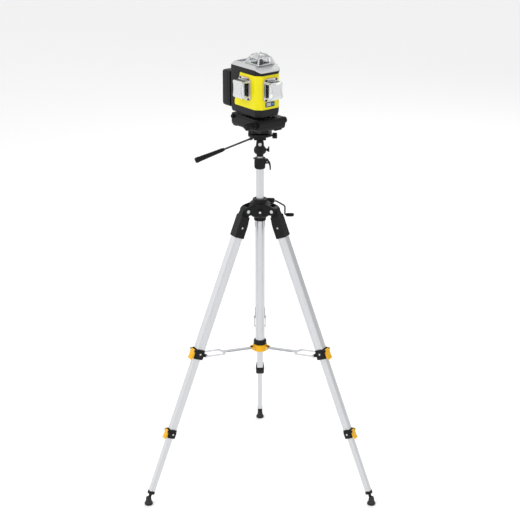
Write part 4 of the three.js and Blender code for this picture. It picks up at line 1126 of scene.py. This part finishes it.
def column():
    low, high = span("centre_column", TRIPOD)
    rack_low, rack_high = 612, 892
    tube = cut(
        rod(10.2, low.z, high.z, ROUND), rod(8.4, low.z - 1, high.z + 1, ROUND),
        box(-2.3, 2.3, 8.6, 12, low.z + 20, rack_high),
    )
    on_column("column_tube", tube, TUBE, 0.1, ("centre_column",))
    pitch = 1.5 * math.pi
    root, tip = 10.3, 11.2
    first = CRANK_Z + pitch / 2 - pitch * round((CRANK_Z - 616) / pitch)
    teeth = []
    for k in range(int(272 / pitch)):
        z = first + k * pitch
        teeth += [(root, z - 1), (tip, z - 0.5), (tip, z + 0.5), (root, z + 1)]
    outline = [(8.8, rack_low), (8.8, rack_high), (root, rack_high), *teeth[::-1], (root, rack_low)]
    on_column("column_rack", slab(outline[::-1], -2, 2), BLACK, 0.08)
    low, high = [corner.z for corner in span("column_collar", TRIPOD)]
    ring = cut(
        turned([
            (12.6, low), (13.6, low + 1), (14.4, low + 12), (14.5, high - 4), (14.1, high - 2.6),
            (14.1, high),
        ]),
        rod(10.5, low - 1, high - 2, ROUND), rod(8.3, low, high + 1, ROUND),
        box(8, 16, -0.9, 0.9, low - 1, high + 1),
    )
    on_column("collar_ring", ring, BLACK, 0.4, ("column_collar",))
    lip = rounded([(-18, high - 2.6), (-12, high - 3.2), (-12, high - 0.4), (-18, high - 1)], 0.8)
    on_column("collar_lip", wall(lip, -4, 4), BLACK)
    rib = box(14.0, 14.9, -0.8, 0.8, low + 3, high - 6)
    on_column("collar_ribs", merge(*[spun(rib, degrees) for degrees in range(120, 250, 12)]), BLACK, 0.3)
    hinge = joint_spot("collar_lever_flip", TRIPOD)
    x, z = hinge.x, hinge.z
    lug = rounded([(11, 911), (x + 3.4, 911.5), (x + 3.4, 921), (11, 922)], 3, 5)
    on_column("collar_lugs", walls(lug, 3, -8.5, 5.5), BLACK, 0.3)
    on_column("collar_pin", rod_y(1.4, -9, 9, x, z, 24), STEEL, 0.2)
    blade = wall(rounded([
        (x - 3, z + 2), (x, z + 3.6), (x + 4, z + 2.8), (x + 8.6, z - 5), (x + 10.4, z - 14),
        (x + 10.2, z - 23.5), (x + 6.6, z - 23.5), (x + 6.2, z - 14), (x + 4.4, z - 7), (x + 1, z - 3.4),
        (x - 2.6, z - 2.6),
    ], 2.4), -5, 5)
    piece("collar_lever_blade", blade, CHARCOAL, "collar_lever", TRIPOD, 0.7, ("collar_lever",), 3)
    low, high = [corner.z for corner in span("inner_column", TRIPOD)]
    inner = cut(rod(8, low, 930, ROUND), rod(6.4, low - 1, 929, ROUND))
    piece("inner_column_tube", inner, BRIGHT, "inner_column", TRIPOD, 0.1, ("inner_column",))
    stem = turned([(8.6, 929.6), (9, 930.4), (9, 936), (8.4, 937), (5, 937), (5, high)])
    piece("head_stem", stem, BLACK, "inner_column", TRIPOD, 0.2)


def crank():
    pivot, end = joint_spot("crank_turn", TRIPOD), joint_spot("crank_grip_spin", TRIPOD)
    y, z = pivot.y, pivot.z
    add = pieces_on("crank", TRIPOD)
    path = [(10, y, z), (40, y, z), (end.x, y, z - 15), (end.x, y, end.z), (end.x + 24.6, y, end.z)]
    add("crank_arm", bent_rod(path, 2.2, 5.0), DARK_STEEL, 0.1, ("crank",))
    add("crank_axle", merge(rod_x(3, -4.5, 39, y, z), rod_x(4.4, 38.3, 40.6, y, z)), STEEL, 0.3)
    teeth = []
    for k in range(8):
        for radius, half in ((5, -0.22), (6.6, -0.08), (6.6, 0.08), (5, 0.22)):
            angle = (k + 1) / 8 * 2 * math.pi + half
            teeth.append((radius * math.cos(angle), radius * math.sin(angle)))
    add("crank_pinion", shifted(slab(teeth, -4.5, 4.5), 0, y, z), BLACK, 0.15)
    profile = ((0.8, 3), (0.95, 4), (1, 6), (1, 20), (0.94, 22.2), (0.8, 23.2))
    handle = shifted(cut(grip(fluted(5.0, 4.55, 12), profile), rod_x(2.3, 0, 30)), end.x, y, end.z)
    piece("crank_handle", handle, BLACK, "crank_grip", TRIPOD, 0.15, ("crank_grip",))
    add("crank_end_button", rod_x(2.6, end.x + 23.5, end.x + 25, y, end.z), STEEL, 0.3)


# ---------- tripod: head ----------

def pan_base():
    z = span("pan_base", TRIPOD)[0].z
    tilt_z = joint_spot("head_tilt", TRIPOD).z
    lock_z = 947
    add = pieces_on("pan_base", TRIPOD)
    bowl = cut(
        turned([
            (11, z), (13.4, z + 0.6), (15.8, z + 4), (16.2, z + 8), (15.8, z + 13), (13.2, z + 18),
            (11, z + 19.6),
        ]),
        rod(5.3, z - 1, z + 11.2), rod_x(2.3, 12, 20, 0, lock_z), rod_y(11.2, -8.2, 8.2, 0, tilt_z),
    )
    add("pan_bowl", bowl, BLACK, 0.4, ("pan_base",))
    cheek = rounded([
        (-11, 953), (11, 953), (9.4, tilt_z + 3), (5, tilt_z + 9), (-5, tilt_z + 9), (-9.4, tilt_z + 3),
    ], 3.5, 5)
    add("tilt_cheeks", walls(cheek, 5.2, 8.2, -13.4), BLACK, 0.7, (), 3)
    bolt = merge(
        rod_y(2.9, -13.4, 13.4, 0, tilt_z, 32), rod_y(5, -15.4, -13.2, 0, tilt_z, 6),
        rod_y(5.4, 13.2, 15, 0, tilt_z, 36),
    )
    add("tilt_bolt", bolt, STEEL)
    wing = rounded([(-2.6, 941), (2.6, 941), (3.6, 955), (0.8, 956.2), (-2.4, 953)], 1.6)
    lock = merge(rod_x(2, 13, 22, 0, lock_z, 24), rod_x(4.2, 16.8, 22, 0, lock_z, 32), slab(wing, 21, 24.6))
    piece("pan_lock_wing", lock, BLACK, "pan_lock", TRIPOD, 0.5, ("pan_lock",))


def tilt_body(side):
    z = joint_spot("head_tilt", TRIPOD).z
    add = pieces_on("tilt_body", TRIPOD)
    yoke = rounded([(-8, z - 2), (-7, z - 7.4), (7, z - 7.4), (8, z - 2), (7.4, 977), (-7.4, 977)], 3, 5)
    add("tilt_tongue", cut(wall(yoke, -7.8, 7.8), rod_y(3.4, -9, 9, 0, z)), BLACK, 0.5, ("tilt_body",))
    block = cut(prism(soft_box(32, 21, 4), 975, 982), rod_x(2.4, -17, -4, 1.5, 978.5))
    add("tilt_block", shifted(block, 0, -1.5), BLACK, 0.8, (), 3)
    barrel = merge(rod_x(4.5, -11.5, 11.5, side.y, side.z), box(-11.5, 11.5, 6, side.y, 976.5, side.z + 1))
    add("side_tilt_barrel", barrel, BLACK)
    add("side_tilt_pin", rod_x(2.4, -17.4, 17, side.y, side.z, 28), STEEL, 0.3)


def pan_handle():
    root = joint_spot("handle_twist", TRIPOD)
    yaw, slope = math.radians(12), math.radians(19)
    away = Vector((-math.cos(slope) * math.cos(yaw), -math.cos(slope) * math.sin(yaw), -math.sin(slope)))
    add = pieces_on("pan_handle", joint_frame(JOINTS["handle_twist"]["pos_m"], (0, 1, 0), away))
    start = 78.3
    shaft = turned([(2.4, 0), (2.4, 78)], 32)
    nut = turned([(3.6, 1), (4.2, 2), (4.2, 7), (3.4, 8.4)], 32)
    add("handle_shaft", merge(shaft, nut), DARK_STEEL, 0.3, ("handle_rod",))
    stub = merge(rod_x(2, root.x, -5, 0, root.z, 24), ball(2.8, root))
    piece("handle_stub", stub, DARK_STEEL, "pan_handle", TRIPOD, 0.2)
    profile = [(3.0, start), (4.0, start + 1), (4.4, start + 5), (5.2, start + 8)]
    ridges = 13
    for k in range(ridges):
        z = start + 9 + k * 4.6
        radius = 5.2 + 1.9 * k / ridges
        profile += [(radius, z), (radius, z + 2.9), (radius - 0.55, z + 3.4), (radius - 0.55, z + 4.2)]
    profile += [(7.3, start + 70), (7.4, start + 78), (6.6, start + 81), (4.6, start + 82)]
    add("handle_sleeve", turned(profile, 40), BLACK, 0.15, ("handle_grip",))


def platform(side):
    add = pieces_on("platform", TRIPOD)

    def plan(inset):
        return rounded(rectangle(61.5 - 2 * inset, 56 - 2 * inset, 9), 2)

    plate = cut(
        stack(plan, (986, 3), (987.5, 0.8), (989, 0), (993, 0), (994, 1)),
        rod_x(5.3, -11.9, 11.9, side.y, side.z), rod(9.7, 992, 996),
    )
    add("platform_plate", plate, BLACK, 0.4, ("platform",), 2, 30)
    y, z, half = side.y, side.z, 4.2
    lugs = []
    for x in (-17, 12):
        lugs += [rod_x(4.5, x, x + 5, y, z), box(x, x + 5, y - half, y + half, z, 987)]
    add("platform_lugs", merge(*lugs), BLACK)
    knob_z = side.z - 3
    stem = rod_x(2.6, 17.5, 33, side.y, knob_z, 24)
    piece("side_knob_stem", stem, DARK_STEEL, "side_tilt_knob", TRIPOD, 0.2, ("side_tilt_knob",))
    profile = ((0.8, 32), (0.97, 33.2), (1, 35), (1, 42.4), (0.94, 44), (0.8, 44.7), (0.5, 44.2))
    knob = shifted(grip(fluted(8, 7.2, 12), profile), 0, side.y, knob_z)
    piece("side_knob_grip", knob, BLACK, "side_tilt_knob", TRIPOD, 0.15)


def quick_shoe():
    add = pieces_on("platform", TRIPOD)
    low, high = [corner.z for corner in span("quick_shoe", TRIPOD)]

    def plan(inset):
        return rounded(rectangle(45 - 2 * inset, 45 - 2 * inset, 4), 1.5)

    shoe = cut(
        stack(plan, (low, 0.4), (low + 1, 0), (high - 4, 1.2), (high - 2, 1.6)),
        rod(9.7, low - 1, low + 4.7), rod(3.4, low, high + 1),
    )
    add("shoe_body", shoe, BLACK, 0.3, ("quick_shoe",))
    add("shoe_pad", prism(plan(2), high - 2, high, [circle(3.6, 32)]), RUBBER, 0.3)
    low, high = [corner.z for corner in span("shoe_screw", TRIPOD)]
    threads = [rod(3.05, low + 6 + k, low + 6.5 + k, 28) for k in range(15)]
    screw = merge(rod(2.7, low, high), turned([(8.4, low), (9, low + 0.6), (9, low + 4.6)]), *threads)
    add("quarter_inch_screw", screw, STEEL, 0.1, ("shoe_screw",))


def head():
    side = joint_spot("side_tilt", TRIPOD)
    pan_base()
    tilt_body(side)
    pan_handle()
    platform(side)
    quick_shoe()


# ---------- the object ----------

level_base()
turntable()
drive_knobs()
housing()
yellow_cover()
top_cover()
keypad()
dome()
window("left")
window("front")
label()
battery()
power_switch()
pendulum()
for number in LEG_NUMBERS:
    leg(number)
spreader()
crown()
column()
crank()
head()


# ---------- floor, light and camera ----------

def pale_floor():
    reach = 30.0
    mesh = bpy.data.meshes.new("floor")
    mesh.from_pydata([(-reach, -reach, 0), (reach, -reach, 0), (reach, reach, 0), (-reach, reach, 0)], [],
                     [(0, 1, 2, 3)])
    floor = link("floor", mesh)
    floor.location.z = -0.0005
    pale = bpy.data.materials.new("pale_floor")
    pale.use_nodes = True
    put(pale.node_tree.nodes["Principled BSDF"], {
        "Base Color": (0.90, 0.90, 0.90, 1), "Roughness": 0.8, "Emission Color": (1, 1, 1, 1),
        "Emission Strength": 0.2,
    })
    mesh.materials.append(pale)


def soft_surroundings():
    """A white world, brighter on the left and low down than on the right and overhead."""
    world = bpy.data.worlds.new("studio")
    bpy.context.scene.world = world
    world.use_nodes = True
    nodes, links = world.node_tree.nodes, world.node_tree.links
    sky = nodes["Background"]
    put(sky, {"Color": (1.0, 1.0, 1.0, 1)})
    ahead = nodes.new("ShaderNodeTexCoord")
    parts = nodes.new("ShaderNodeSeparateXYZ")
    links.new(ahead.outputs["Generated"], parts.inputs["Vector"])

    def ramp(source, low_value, high_value):
        made = nodes.new("ShaderNodeMapRange")
        put(made, {"From Min": -1, "To Min": low_value, "To Max": high_value})
        links.new(parts.outputs[source], made.inputs["Value"])
        return made.outputs["Result"]

    both = nodes.new("ShaderNodeMath")
    both.operation = "MULTIPLY"
    links.new(ramp("X", 1.45, 0.55), both.inputs[0])
    links.new(ramp("Z", 1.35, 0.62), both.inputs[1])
    links.new(both.outputs["Value"], sky.inputs["Strength"])


def aim(made, away):
    """Turns a lamp or camera to look back along a direction."""
    made.rotation_mode = "QUATERNION"
    made.rotation_quaternion = (-away).to_track_quat("-Z", "Y")


def lamp(name, away, size, power):
    data = bpy.data.lights.new(name, "AREA")
    data.shape = "DISK"
    data.size = size
    data.energy = power
    made = link(name, data)
    made.location = MIDDLE + Vector(away)
    aim(made, Vector(away))


def front_camera():
    eye = bpy.data.cameras.new("camera")
    eye.lens = 100
    eye.sensor_width = 36
    eye.clip_end = 200
    camera = link("camera", eye)
    bpy.context.scene.camera = camera
    elevation = math.radians(20.5)
    distance = 3.95
    away = Vector((0, -math.cos(elevation), math.sin(elevation)))
    target = Vector((0, MIDDLE.y, cad_low.z + 0.505 * (cad_high.z - cad_low.z)))
    camera.location = target + away * distance
    aim(camera, away)


MIDDLE = (cad_low + cad_high) / 2
bpy.context.scene.view_settings.view_transform = "Standard"
pale_floor()
soft_surroundings()
lamp("key_light", (-2.2, -2.4, 2.6), 2.0, 42)
lamp("fill_light", (2.6, -1.6, 1.2), 2.4, 16)
lamp("rim_light", (1.2, 2.6, 2.2), 1.6, 30)
front_camera()
